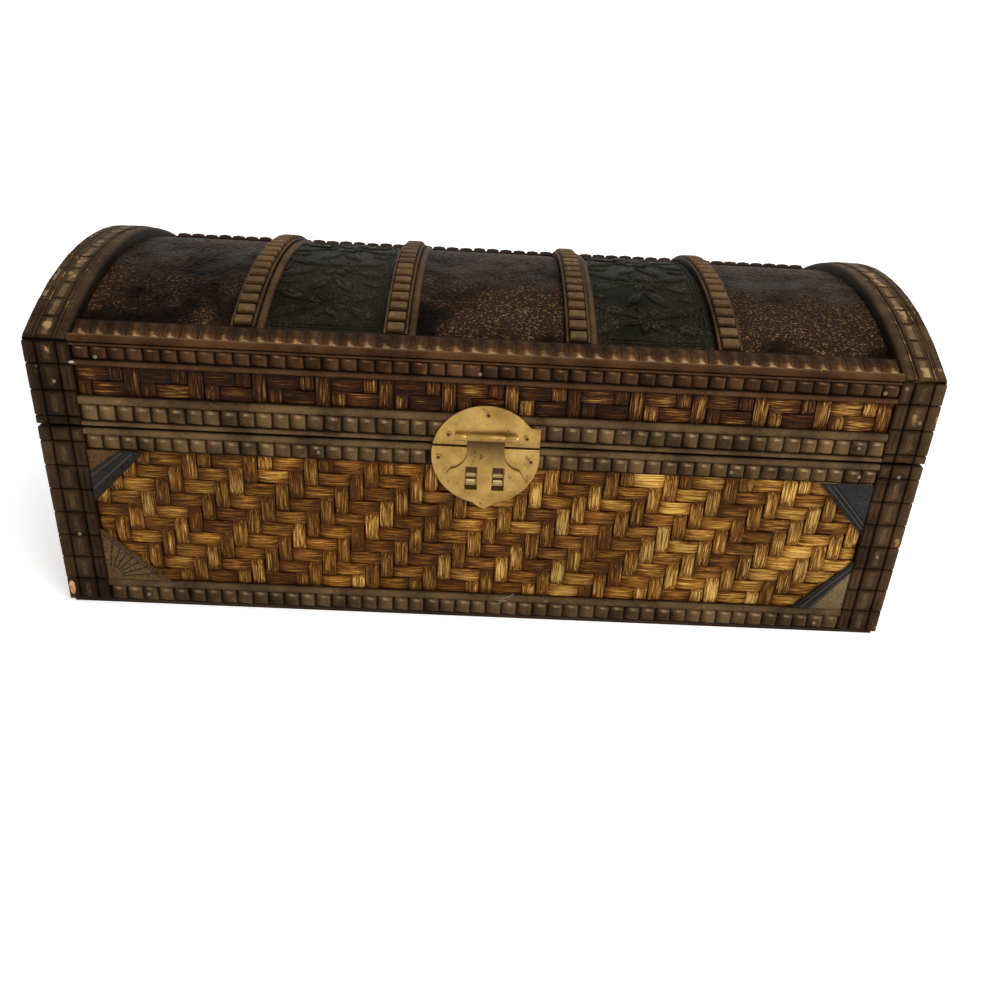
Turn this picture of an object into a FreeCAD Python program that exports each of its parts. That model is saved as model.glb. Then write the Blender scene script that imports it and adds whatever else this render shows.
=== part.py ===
import FreeCAD, Part
import math
import os
from FreeCAD import Matrix, Placement, Vector

os.makedirs("parts", exist_ok=True)

# A small dome-topped storage chest with woven panels between carved mouldings.
# X runs along the length, Y from the front (minus) to the back (plus) and Z up.
# The origin lies under the middle of the bottom board. Sizes are millimetres.

# Overall sizes
chest_length = 350.0
chest_depth = 152.0
seam_height = 83.3
fascia_height = 36.4
dome_rise = 18.8
overrun = 2.0

# Boards of the base and the lid
board_thickness = 6.0
trim_stand = 3.5
seam_clearance = 0.3
foot_step = 1.6
foot_inset = 1.5
floor_thickness = 3.0
shell_thickness = 2.5

# Cross sections shared by the mouldings
valley_stand = 1.9
tooth_stand = 3.3
tooth_chamfer = 1.5
bead_rise_share = 0.44
bead_ease_share = 0.3
lip_ease = 0.35
notch_pitch = 6.75
notch_width = 3.4
notch_rise = 0.15
notch_margin = 0.1
comb_lift = 0.3
rail_seam_gap = 1.0

# Heights of the bands in each moulding, from the bottom of the chest up
base_foot_tooth_height = 7.3
base_foot_bead_height = 3.4
base_crown_tooth_height = 6.6
base_crown_bead_height = 2.9
lid_foot_lip_height = 1.8
lid_foot_tooth_height = 7.1
lid_foot_bead_height = 3.5
lid_crown_bead_height = 2.3
lid_crown_tooth_height = 5.8
lid_crown_lip_height = 1.2
lid_crown_drop = 1.7

# Corner posts
post_width = 17.5
post_outer_band = 4.6
post_inner_band = 5.1
post_groove = 1.0
post_groove_half = 0.65
post_ease = 0.6
post_corner_round = 2.4
post_row_pitch = 10.8
post_row_half = 0.9
post_row_depth = 0.8

# Woven panels and the leather at the corners of the front panel
weave_stand = 2.3
corner_leg = 24.0
strap_thickness = 1.1
patch_thickness = 0.6

# Dome: everything on the shell stands up to the outline circle
band_stand = 5.5
band_width = 9.6
band_notch_depth = 1.7
panel_thickness = 1.5
panel_gap = 0.1
end_band_edge_drop = 1.6
end_band_groove = 0.7
band_place_share = (-0.544, -0.2103, 0.1931, 0.5326)

# Moulding along the front and back edges of the dome
dome_rail_width = 11.2
ledge_gap = 0.4
ledge_overhang = 0.8
ledge_lip_height = 2.3
ledge_lip_rise = 0.8
ledge_lip_width = 2.6
ledge_valley = 1.5
dome_tooth_chamfer = 1.1

# Brass box latch on the front
latch_radius = 21.45
latch_drop = 4.1
latch_plate = 1.0
latch_lobe_reach = 21.2
latch_lobe_top = 8.7
latch_lobe_inner = 15.0
latch_pin_radius = 0.9
latch_pin_head = 0.5
latch_pin_sides = 8
hasp_axis_rise = 4.7
hasp_barrel_radius = 1.5
hasp_barrel_half = 7.5
hasp_barrel_reach = 12.3
hasp_pin_radius = 0.7
hasp_thickness = 1.2
hasp_half_width = 15.4
hasp_neck_half = 7.4
hasp_drop = 31.6
hasp_clearance = 0.3
knuckle_gap = 0.3
pin_clearance = 0.05
slot_width = 5.0
slot_height = 10.0
slot_place = 5.35
slot_drop = 13.0
slot_lip_height = 1.0
slot_lip_rise = 0.5
staple_ring = 1.9
staple_half_width = 2.1
staple_wire = 0.7
staple_rise = 1.2

# Two butt hinges on the back
hinge_place = 95.0
hinge_leaf_width = 22.0
hinge_leaf_height = 8.6
hinge_leaf = 0.9
hinge_knuckle_radius = 1.7
hinge_pin_radius = 0.8
hinge_pin_proud = 0.6
hinge_wall_gap = 0.2

shoulder_height = seam_height + fascia_height
half_length = chest_length / 2
half_depth = chest_depth / 2
board_x = half_length - trim_stand
board_y = half_depth - trim_stand
inner_x = board_x - board_thickness
inner_y = board_y - board_thickness
dome_radius = (half_depth * half_depth + dome_rise * dome_rise) / (2 * dome_rise)
dome_centre = Vector(0, 0, shoulder_height + dome_rise - dome_radius)
shell_radius = dome_radius - band_stand
ceiling_radius = shell_radius - shell_thickness
base_edge = seam_height - rail_seam_gap / 2
lid_edge = seam_height + rail_seam_gap / 2
rail_x = half_length - post_width
rail_y = half_depth - post_width
crown_top = shoulder_height - lid_crown_drop
dome_rail_inner = half_depth - dome_rail_width
front = -half_depth

# Each side of the chest: its name, where it faces and how far out its boards are
SIDES = {
    "front": (Vector(1, 0, 0), Vector(0, -1, 0)),
    "back": (Vector(-1, 0, 0), Vector(0, 1, 0)),
    "left": (Vector(0, -1, 0), Vector(-1, 0, 0)),
    "right": (Vector(0, 1, 0), Vector(1, 0, 0)),
}


def save(name, shape):
    shape.exportStep("parts/" + name + ".step")


def box(x0, x1, y0, y1, z0, z1):
    return Part.makeBox(x1 - x0, y1 - y0, z1 - z0, Vector(x0, y0, z0))


def prism(points, direction):
    outline = Part.makePolygon(points + [points[0]])
    return Part.Face(outline).extrude(direction)


def rod(radius, x0, x1, y, z):
    return Part.makeCylinder(radius, x1 - x0, Vector(x0, y, z), Vector(1, 0, 0))


def outline_edges(points):
    # A point makes a line to it, and a pair makes an arc through its first point to its second
    edges = []
    here = points[0]
    for step in points[1:]:
        if isinstance(step, tuple):
            edges.append(Part.Arc(here, step[0], step[1]).toShape())
            here = step[1]
        elif (here - step).Length > 0:
            edges.append(Part.LineSegment(here, step).toShape())
            here = step
    if (here - points[0]).Length > 0:
        edges.append(Part.LineSegment(here, points[0]).toShape())
    return edges


def outline_prism(points, direction):
    return Part.Face(Part.Wire(outline_edges(points))).extrude(direction)


# Mouldings are made lying flat: x along the run, y up across it and z out from the board

def section_points(zones):
    points = [Vector(0, 0, 0)]
    level = 0
    for kind, height in zones:
        top = level + height
        points.append(Vector(0, level, valley_stand))
        if kind == "bead":
            rise = min(trim_stand - valley_stand, bead_rise_share * height)
            ease = bead_ease_share * height
            points.append(Vector(0, level, trim_stand - rise))
            points.append(Vector(0, level + ease, trim_stand))
            points.append(Vector(0, top - ease, trim_stand))
            points.append(Vector(0, top, trim_stand - rise))
            points.append(Vector(0, top, valley_stand))
        if kind == "teeth":
            points.append(Vector(0, level + tooth_chamfer, tooth_stand))
            points.append(Vector(0, top - tooth_chamfer, tooth_stand))
            points.append(Vector(0, top, valley_stand))
        if kind == "lip":
            points.append(Vector(0, level + lip_ease, trim_stand))
            points.append(Vector(0, top - lip_ease, trim_stand))
            points.append(Vector(0, top, valley_stand))
        level = top
    points.append(Vector(0, level, 0))
    return points


def comb(length, low, high, floor, crest, half_width, pitch):
    # One row of V-shaped cutters joined above the crest
    count = max(1, round(length / pitch))
    lift = crest + comb_lift
    reach = half_width * (lift - floor) / (crest - floor)
    points = [Vector(-length / 2 - overrun, low, lift + overrun)]
    points.append(Vector(-length / 2 - overrun, low, lift))
    for index in range(count + 1):
        place = -length / 2 + length * index / count
        points.append(Vector(place - reach, low, lift))
        points.append(Vector(place, low, floor))
        points.append(Vector(place + reach, low, lift))
    points.append(Vector(length / 2 + overrun, low, lift))
    points.append(Vector(length / 2 + overrun, low, lift + overrun))
    return prism(points, Vector(0, high - low, 0))


def moulding(length, zones, notched):
    run = Vector(length, 0, 0)
    strip = outline_prism(section_points(zones), run)
    strip.translate(Vector(-length / 2, 0, 0))
    level = 0
    for kind, height in zones:
        if kind == "teeth" and notched:
            floor = valley_stand + notch_rise
            half = notch_width / 2
            low = level + notch_margin
            high = level + height - notch_margin
            cutter = comb(length, low, high, floor, tooth_stand, half, notch_pitch)
            strip = strip.cut(cutter)
        level += height
    return strip


def stand_on(side, shape, height):
    # Turns a flat-made piece upright and sets it on the boards of one side
    along, out = SIDES[side]
    origin = Vector(out.x * board_x, out.y * board_y, height)
    turn = Matrix(along.x, 0, out.x, origin.x,
                  along.y, 0, out.y, origin.y,
                  along.z, 1, out.z, origin.z,
                  0, 0, 0, 1)
    placed = shape.copy()
    placed.Placement = Placement(turn).multiply(shape.Placement)
    return placed


def side_length(side):
    return 2 * rail_x if side in ("front", "back") else 2 * rail_y


def zone_height(zones):
    return sum(height for kind, height in zones)


FOOT_ZONES = (("teeth", base_foot_tooth_height), ("bead", base_foot_bead_height))
CROWN_ZONES = (("teeth", base_crown_tooth_height), ("bead", base_crown_bead_height))
LID_FOOT_ZONES = (
    ("lip", lid_foot_lip_height),
    ("teeth", lid_foot_tooth_height),
    ("bead", lid_foot_bead_height),
)
LID_CROWN_ZONES = (
    ("bead", lid_crown_bead_height),
    ("teeth", lid_crown_tooth_height),
    ("lip", lid_crown_lip_height),
)


def rail_set(stem, zones, height):
    # The back carries the same mouldings without notches, and the hinges lie on them
    ends = []
    for side in SIDES:
        rail = stand_on(side, moulding(side_length(side), zones, side != "back"), height)
        if side in ("left", "right"):
            ends.append(rail)
        else:
            save(stem + "_" + side, rail)
    save(stem + "_ends", Part.makeCompound(ends))


def weave_set(stem, low, high):
    ends = []
    for side in SIDES:
        length = side_length(side)
        panel = Part.makeBox(length, high - low, weave_stand, Vector(-length / 2, 0, 0))
        panel = stand_on(side, panel, low)
        if side in ("left", "right"):
            ends.append(panel)
        else:
            save(stem + "_" + side, panel)
    save(stem + "_ends", Part.makeCompound(ends))


# Corner posts: an L-shaped moulding with two long grooves and rows of crossing grooves

def arm_points():
    first = post_outer_band
    second = post_width - post_inner_band
    points = [(post_width, trim_stand), (post_width, post_ease), (post_width - post_ease, 0)]
    for groove in (second, first):
        points.append((groove + post_groove_half, 0))
        points.append((groove, post_groove))
        points.append((groove - post_groove_half, 0))
    points.append((post_corner_round, 0))
    return points


def post(low, high, rows_in_front):
    # Made at the front right corner, from the outer corner inwards
    arm = arm_points()
    face = [Vector(half_length - u, front + t, low) for u, t in arm]
    flank = [Vector(half_length - t, front + u, low) for u, t in reversed(arm)]
    bend = post_corner_round * (1 - math.sqrt(0.5))
    corner = Vector(half_length - bend, front + bend, low)
    heel = Vector(board_x, -board_y, low)
    points = face + [corner] + flank + [heel]
    column = prism(points, Vector(0, 0, high - low))
    # The rows run on across the seam, as the post was carved before the lid was sawn off
    rows = shoulder_height - foot_step
    cutter = comb(rows, -overrun, post_width + overrun, trim_stand - post_row_depth, trim_stand,
                  post_row_half, post_row_pitch)
    middle = foot_step + rows / 2
    face_turn = Matrix(0, -1, 0, half_length, 0, 0, -1, -board_y, 1, 0, 0, middle, 0, 0, 0, 1)
    flank_turn = Matrix(0, 0, 1, board_x, 0, 1, 0, front, 1, 0, 0, middle, 0, 0, 0, 1)
    turns = (face_turn, flank_turn) if rows_in_front else (flank_turn,)
    for turn in turns:
        tool = cutter.copy()
        tool.transformShape(turn)
        column = column.cut(tool)
    return column


def post_set(stem, low, high):
    # The back posts are mirrored front ones with a plain back face
    centre = Vector(0, 0, 0)
    across = Vector(1, 0, 0)
    through = Vector(0, 1, 0)
    front_right = post(low, high, True)
    plain_right = post(low, high, False)
    save(stem + "_front_right", front_right)
    save(stem + "_front_left", front_right.mirror(centre, across))
    save(stem + "_back_right", plain_right.mirror(centre, through))
    back_left = plain_right.copy()
    back_left.rotate(centre, Vector(0, 0, 1), 180)
    save(stem + "_back_left", back_left)


# Base: rebated bottom board, four walls, mouldings, woven panels and posts

def make_base():
    step = box(-half_length + foot_inset, half_length - foot_inset,
               -half_depth + foot_inset, half_depth - foot_inset, 0, foot_step)
    raised = box(-inner_x, inner_x, -inner_y, inner_y, foot_step, foot_step + floor_thickness)
    save("base_floor", step.fuse(raised).removeSplitter())
    top = seam_height - seam_clearance / 2
    save("base_front_wall", box(-board_x, board_x, -board_y, -inner_y, foot_step, top))
    save("base_back_wall", box(-board_x, board_x, inner_y, board_y, foot_step, top))
    save("base_left_wall", box(-board_x, -inner_x, -inner_y, inner_y, foot_step, top))
    save("base_right_wall", box(inner_x, board_x, -inner_y, inner_y, foot_step, top))
    rail_set("base_foot_rail", FOOT_ZONES, foot_step)
    crown_low = base_edge - zone_height(CROWN_ZONES)
    rail_set("base_crown_rail", CROWN_ZONES, crown_low)
    weave_low = foot_step + zone_height(FOOT_ZONES)
    weave_set("base_weave", weave_low, crown_low)
    post_set("base_post", foot_step, base_edge)
    make_corner_leather(weave_low, crown_low)


# Leather corners: legs along the rail and along the post, as shares of corner_leg
STRAP_LEG_SHARES = {
    "top_left": (0.933, 0.975, 0.54, 0.40),
    "top_right": (0.933, 0.97, 0.675, 0.74),
    "bottom_right": (0.933, 1.03, 0.57, 0.80),
}
TOOLED_LEG_SHARES = (1.11, 1.03)


def corner_plate(side, rise, legs, depth, weave_low, weave_high):
    corner_x = side * rail_x
    corner_z = weave_high if rise < 0 else weave_low
    plane = -board_y - weave_stand
    points = [Vector(corner_x - side * u, plane, corner_z + rise * w) for u, w in legs]
    return prism(points, Vector(0, -depth, 0))


def make_corner_leather(weave_low, weave_high):
    places = {"top_left": (-1, -1), "top_right": (1, -1), "bottom_right": (1, 1)}
    straps = []
    patches = []
    for name, (side, rise) in places.items():
        in_rail, in_post, out_rail, out_post = (share * corner_leg for share in STRAP_LEG_SHARES[name])
        strap = ((in_rail, 0), (0, in_post), (0, out_post), (out_rail, 0))
        straps.append(corner_plate(side, rise, strap, strap_thickness, weave_low, weave_high))
        patch = ((out_rail, 0), (0, out_post), (0, 0))
        patches.append(corner_plate(side, rise, patch, patch_thickness, weave_low, weave_high))
    rail_leg, post_leg = (share * corner_leg for share in TOOLED_LEG_SHARES)
    tooled = ((rail_leg, 0), (0, post_leg), (0, 0))
    patches.append(corner_plate(-1, 1, tooled, patch_thickness, weave_low, weave_high))
    save("corner_straps", Part.makeCompound(straps))
    save("corner_patches", Part.makeCompound(patches))


# Lid: walls and gables under a thin bent shell, with bands, rails and leather panels on it

def dome_cylinder(radius):
    start = Vector(-half_length - overrun, 0, dome_centre.z)
    return Part.makeCylinder(radius, chest_length + 2 * overrun, start, Vector(1, 0, 0))


def dome_piece(section, reach):
    # Turns a section of (x, radius) points about the dome's axis, cut off at plus and minus reach
    half_angle = math.degrees(math.asin((reach + overrun) / shell_radius))
    points = [Vector(x, 0, dome_centre.z + radius) for x, radius in section]
    face = Part.Face(Part.makePolygon(points + [points[0]]))
    face.rotate(dome_centre, Vector(1, 0, 0), -half_angle)
    swept = face.revolve(dome_centre, Vector(1, 0, 0), 2 * half_angle)
    limit = box(-half_length - overrun, half_length + overrun, -reach, reach,
                0, shoulder_height + dome_rise + overrun)
    return swept.common(limit)


def polar(angle, radius):
    return dome_centre + Vector(0, radius * math.sin(angle), radius * math.cos(angle))


def arc_z(radius, y):
    return dome_centre.z + math.sqrt(radius * radius - y * y)


def notched_band(x0, x1, reach, floor):
    # A strip bent round the dome with V notches across it, seated on the shell
    half_angle = math.asin(reach / dome_radius)
    count = round(2 * half_angle * dome_radius / notch_pitch)
    spread = notch_width / 2 / dome_radius
    seats = [Vector(0, side * reach, arc_z(shell_radius, reach)) for side in (-1, 1)]
    points = [seats[0], Vector(0, -reach, arc_z(floor, reach)), polar(-half_angle + spread, dome_radius)]
    for index in range(1, count):
        angle = -half_angle + 2 * half_angle * index / count
        points.append(polar(angle - spread, dome_radius))
        points.append(polar(angle, floor))
        points.append(polar(angle + spread, dome_radius))
    points.append(polar(half_angle - spread, dome_radius))
    points.append(Vector(0, reach, arc_z(floor, reach)))
    points.append(seats[1])
    points.append((polar(0, shell_radius), seats[0]))
    band = outline_prism(points, Vector(x1 - x0, 0, 0))
    band.translate(Vector(x0, 0, 0))
    return band


def band_centres():
    return [share * half_length for share in band_place_share]


def inner_band(centre):
    half = band_width / 2
    return notched_band(centre - half, centre + half, dome_rail_inner, dome_radius - band_notch_depth)


def end_band():
    # Made at the right end; its bands line up with those of the posts
    low = shell_radius
    edge = dome_radius - end_band_edge_drop
    first = half_length - post_outer_band
    second = half_length - post_width + post_inner_band
    section = [(rail_x, low), (rail_x, edge), (rail_x + post_ease, dome_radius)]
    for groove in (second, first):
        section.append((groove - post_groove_half, dome_radius))
        section.append((groove, dome_radius - end_band_groove))
        section.append((groove + post_groove_half, dome_radius))
    section.append((half_length - post_corner_round, dome_radius))
    section.append((half_length, dome_radius - post_corner_round))
    section.append((half_length, low))
    band = dome_piece(section, half_depth)
    for side in (-1, 1):
        near = side * board_y
        far = side * (half_depth + overrun)
        y0 = min(near, far)
        y1 = max(near, far)
        band = band.cut(box(rail_x - overrun, half_length + overrun, y0, y1, 0, crown_top))
    beside = box(board_x, half_length + overrun, -half_depth - overrun, half_depth + overrun, 0, crown_top)
    return band.cut(beside)


def dome_rail(notched):
    # Made at the front: a lip over the shoulder, then a slope up to the panels, notched in front
    inner = -dome_rail_inner
    lip_front = front - ledge_overhang
    ledge = crown_top + ledge_gap
    lip_top = ledge + ledge_lip_height
    lip_back = lip_front + ledge_lip_width
    tooth_start = lip_back + dome_tooth_chamfer
    floor_radius = dome_radius - ledge_valley
    mid_y = (inner - board_y) / 2
    lip_depth = lip_top + ledge_lip_rise - arc_z(floor_radius, lip_back)
    lean = lip_depth * -lip_back / math.sqrt(dome_radius * dome_radius - lip_back * lip_back)
    points = [
        Vector(0, -board_y, arc_z(shell_radius, board_y)),
        Vector(0, -board_y, ledge),
        Vector(0, lip_front, ledge),
        Vector(0, lip_front, lip_top),
        Vector(0, lip_front + ledge_lip_rise, lip_top + ledge_lip_rise),
        Vector(0, lip_back - lean, lip_top + ledge_lip_rise),
        Vector(0, lip_back, arc_z(floor_radius, lip_back)),
        Vector(0, tooth_start, arc_z(dome_radius, tooth_start)),
        Vector(0, inner - dome_tooth_chamfer, arc_z(dome_radius, inner - dome_tooth_chamfer)),
        Vector(0, inner, arc_z(floor_radius, inner)),
        Vector(0, inner, arc_z(shell_radius, inner)),
        (Vector(0, mid_y, arc_z(shell_radius, mid_y)),
         Vector(0, -board_y, arc_z(shell_radius, board_y))),
    ]
    rail = outline_prism(points, Vector(2 * rail_x, 0, 0))
    rail.translate(Vector(-rail_x, 0, 0))
    if not notched:
        return rail
    slope = Vector(0, inner - lip_back, arc_z(dome_radius, inner) - arc_z(dome_radius, lip_back))
    run = slope.Length
    slope.normalize()
    out = Vector(1, 0, 0).cross(slope)
    crest = Vector(0, lip_back, arc_z(dome_radius, lip_back))
    turn = Matrix(1, slope.x, out.x, crest.x,
                  0, slope.y, out.y, crest.y,
                  0, slope.z, out.z, crest.z,
                  0, 0, 0, 1)
    floor = notch_rise - ledge_valley
    cutter = comb(2 * rail_x, notch_margin, run - notch_margin, floor, 0, notch_width / 2, notch_pitch)
    cutter.transformShape(turn)
    return rail.cut(cutter)


def make_lid():
    low = seam_height + seam_clearance / 2
    top = shoulder_height + dome_rise
    under = dome_cylinder(ceiling_radius)
    save("lid_front_wall", box(-board_x, board_x, -board_y, -inner_y, low, top).common(under))
    save("lid_back_wall", box(-board_x, board_x, inner_y, board_y, low, top).common(under))
    save("lid_left_gable", box(-board_x, -inner_x, -inner_y, inner_y, low, top).common(under))
    save("lid_right_gable", box(inner_x, board_x, -inner_y, inner_y, low, top).common(under))
    rail_set("lid_foot_rail", LID_FOOT_ZONES, lid_edge)
    foot_top = lid_edge + zone_height(LID_FOOT_ZONES)
    crown_low = crown_top - zone_height(LID_CROWN_ZONES)
    rail_set("lid_crown_rail", LID_CROWN_ZONES, crown_low)
    weave_set("lid_weave", foot_top, crown_low)
    post_set("lid_post", lid_edge, crown_top)
    make_gable_leather()
    make_dome()


def make_gable_leather():
    inside = dome_cylinder(shell_radius)
    top = shoulder_height + dome_rise
    skins = []
    for side in (-1, 1):
        near = side * board_x
        far = side * (board_x + panel_thickness)
        skin = box(min(near, far), max(near, far), -board_y, board_y, crown_top + ledge_gap, top)
        skins.append(skin.common(inside))
    save("gable_leathers", Part.makeCompound(skins))


def make_dome():
    shell = [(-board_x, ceiling_radius), (-board_x, shell_radius),
             (board_x, shell_radius), (board_x, ceiling_radius)]
    save("dome_shell", dome_piece(shell, board_y))
    save("dome_bands", Part.makeCompound([inner_band(centre) for centre in band_centres()]))
    right = end_band()
    save("end_band_right", right)
    save("end_band_left", right.mirror(Vector(0, 0, 0), Vector(1, 0, 0)))
    save("dome_rail_front", dome_rail(True))
    save("dome_rail_back", dome_rail(False).mirror(Vector(0, 0, 0), Vector(0, 1, 0)))
    stops = [-rail_x]
    for centre in band_centres():
        stops.append(centre - band_width / 2)
        stops.append(centre + band_width / 2)
    stops.append(rail_x)
    top = shell_radius + panel_thickness
    for number in range(len(stops) // 2):
        x0 = stops[2 * number] + panel_gap
        x1 = stops[2 * number + 1] - panel_gap
        section = [(x0, shell_radius), (x0, top), (x1, top), (x1, shell_radius)]
        save("dome_panel_" + str(number + 1), dome_piece(section, dome_rail_inner - panel_gap))


# Latch: a round plate split at the seam, a hasp hinged on its upper half and two staples

latch_centre = seam_height - latch_drop
latch_face = front - latch_plate
hasp_axis_z = seam_height + hasp_axis_rise
hasp_axis_y = latch_face - hasp_clearance - hasp_barrel_radius

LID_PIN_SHARES = ((0.02, 0.83), (-0.69, 0.42), (0.74, 0.40))
BASE_PIN_SHARES = ((-0.867, -0.047), (0.844, -0.065))

# Right half of the hasp: shares of its half width and of its drop below the barrel
HASP_SHARES = (
    ("line", (0.48, 0.24)),
    ("arc", (0.62, 0.385), (0.88, 0.455)),
    ("arc", (1.0, 0.57), (0.82, 0.72)),
    ("arc", (0.58, 0.75), (0.45, 0.825)),
    ("arc", (0.30, 0.91), (0.0, 1.0)),
)


def latch_disc():
    return Part.makeCylinder(latch_radius, latch_plate, Vector(0, front, latch_centre), Vector(0, -1, 0))


def pin_heads(shares):
    heads = []
    angles = [2 * math.pi * index / latch_pin_sides for index in range(latch_pin_sides)]
    for across, up in shares:
        place = Vector(across * latch_radius, latch_face, latch_centre + up * latch_radius)
        rim = [place + Vector(math.cos(angle), 0, math.sin(angle)) * latch_pin_radius for angle in angles]
        heads.append(prism(rim, Vector(0, -latch_pin_head, 0)))
    return Part.makeCompound(heads)


def hasp_point(share, side, y):
    across, down = share
    return Vector(side * across * hasp_half_width, y, hasp_axis_z - down * hasp_drop)


def hasp_edges(y):
    # Down the right half, then the same steps mirrored back up the left half
    neck = Vector(hasp_neck_half, y, hasp_axis_z)
    points = [neck]
    for step in HASP_SHARES:
        if step[0] == "line":
            points.append(hasp_point(step[1], 1, y))
        else:
            points.append((hasp_point(step[1], 1, y), hasp_point(step[2], 1, y)))
    ends = [step[-1] for step in HASP_SHARES]
    for index in range(len(HASP_SHARES) - 1, 0, -1):
        step = HASP_SHARES[index]
        points.append((hasp_point(step[1], -1, y), hasp_point(ends[index - 1], -1, y)))
    points.append(Vector(-hasp_neck_half, y, hasp_axis_z))
    return points


def make_latch():
    reach = latch_radius + overrun
    upper_half = box(-reach, reach, latch_face - overrun, front + overrun, lid_edge, latch_centre + reach)
    lower_half = box(-reach, reach, latch_face - overrun, front + overrun, latch_centre - reach, base_edge)
    upper = latch_disc().common(upper_half)
    lobe = box(latch_lobe_inner, latch_lobe_reach, latch_face, front, lid_edge, seam_height + latch_lobe_top)
    upper = upper.fuse(lobe).removeSplitter()
    hollow = hasp_pin_radius + pin_clearance
    inner = hasp_barrel_half + knuckle_gap
    for x0, x1 in ((inner, hasp_barrel_reach), (-hasp_barrel_reach, -inner)):
        barrel = rod(hasp_barrel_radius, x0, x1, hasp_axis_y, hasp_axis_z)
        foot = box(x0, x1, hasp_axis_y, latch_face, hasp_axis_z - hasp_barrel_radius / 2,
                   hasp_axis_z + hasp_barrel_radius / 2)
        upper = upper.fuse(barrel).fuse(foot)
    bore = rod(hollow, -hasp_barrel_reach - overrun, hasp_barrel_reach + overrun, hasp_axis_y, hasp_axis_z)
    save("latch_lid_plate", upper.cut(bore))
    save("latch_base_plate", latch_disc().common(lower_half))
    save("latch_lid_pins", pin_heads(LID_PIN_SHARES))
    save("latch_base_pins", pin_heads(BASE_PIN_SHARES))
    save("hasp_pin", rod(hasp_pin_radius, -hasp_barrel_reach, hasp_barrel_reach, hasp_axis_y, hasp_axis_z))
    save("hasp", make_hasp(bore))
    make_staples()


def make_hasp(bore):
    back = latch_face - hasp_clearance
    plate = outline_prism(hasp_edges(back), Vector(0, -hasp_thickness, 0))
    barrel = rod(hasp_barrel_radius, -hasp_barrel_half, hasp_barrel_half, hasp_axis_y, hasp_axis_z)
    hasp = plate.fuse(barrel)
    for side in (-1, 1):
        low_x = side * slot_place - slot_width / 2
        high_x = side * slot_place + slot_width / 2
        slot_top = hasp_axis_z - slot_drop
        slot_foot = slot_top - slot_height
        lip_face = back - hasp_thickness - slot_lip_rise
        hasp = hasp.fuse(box(low_x, high_x, lip_face, back, slot_foot - slot_lip_height, slot_foot))
        hasp = hasp.cut(box(low_x, high_x, lip_face - overrun, back + overrun, slot_foot, slot_top))
    return hasp.cut(bore)


def make_staples():
    staples = []
    middle = hasp_axis_z - slot_drop - slot_height / 2 - staple_rise / 2
    for side in (-1, 1):
        centre = Vector(side * slot_place, latch_face - staple_rise, middle)
        corners = ((-1, -1), (1, -1), (1, 1), (-1, 1))
        section = [centre + Vector(across * staple_half_width, 0, staple_ring + up * staple_wire)
                   for across, up in corners]
        bar = Part.Face(Part.makePolygon(section + [section[0]]))
        bow = bar.revolve(centre, Vector(1, 0, 0), 180)
        leg = bar.extrude(Vector(0, staple_rise, 0))
        other = leg.mirror(centre, Vector(0, 0, 1))
        staples.append(bow.fuse(leg).fuse(other).removeSplitter())
    save("latch_staples", Part.makeCompound(staples))


# Hinges on the back: two leaves on each, with three knuckles on a pin

hinge_axis_y = half_depth + hinge_wall_gap + hinge_knuckle_radius


def hinge_leaf_solid(place, rise, knuckles):
    half = hinge_leaf_width / 2
    clear = hinge_knuckle_radius + knuckle_gap
    near = seam_height + rise * clear
    far = seam_height + rise * (clear + hinge_leaf_height)
    leaf = box(place - half, place + half, half_depth, half_depth + hinge_leaf, min(near, far), max(near, far))
    for x0, x1 in knuckles:
        tongue = box(place + x0, place + x1, half_depth, half_depth + hinge_leaf,
                     min(seam_height, near), max(seam_height, near))
        knuckle = rod(hinge_knuckle_radius, place + x0, place + x1, hinge_axis_y, seam_height)
        leaf = leaf.fuse(tongue).fuse(knuckle)
    bore = rod(hinge_pin_radius + pin_clearance, place - half - overrun, place + half + overrun,
               hinge_axis_y, seam_height)
    return leaf.cut(bore).removeSplitter()


def make_hinges():
    half = hinge_leaf_width / 2
    third = (hinge_leaf_width - 2 * knuckle_gap) / 3
    ends = ((-half, -half + third), (half - third, half))
    middle = ((-third / 2, third / 2),)
    base_leaves = []
    lid_leaves = []
    pins = []
    for place in (-hinge_place, hinge_place):
        base_leaves.append(hinge_leaf_solid(place, -1, ends))
        lid_leaves.append(hinge_leaf_solid(place, 1, middle))
        start = place - half - hinge_pin_proud
        end = place + half + hinge_pin_proud
        pins.append(rod(hinge_pin_radius, start, end, hinge_axis_y, seam_height))
    save("hinge_base_leaves", Part.makeCompound(base_leaves))
    save("hinge_lid_leaves", Part.makeCompound(lid_leaves))
    save("hinge_pins", Part.makeCompound(pins))


make_base()
make_lid()
make_latch()
make_hinges()
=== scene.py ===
# %% [markdown]
# # A dome-topped storage chest, dressed for rendering
# The solids of this small tabletop chest come from its CAD part and stay where they are. This lesson lays
# finer pieces over them: real woven strips, carved notches with worn edges, leather that follows the dome
# and brass with soft rims. Sizes are in metres and the chest's front faces minus Y.

# %% Load the solids
import math
import random
from itertools import groupby

import bpy
from mathutils import Matrix, Vector


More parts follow.
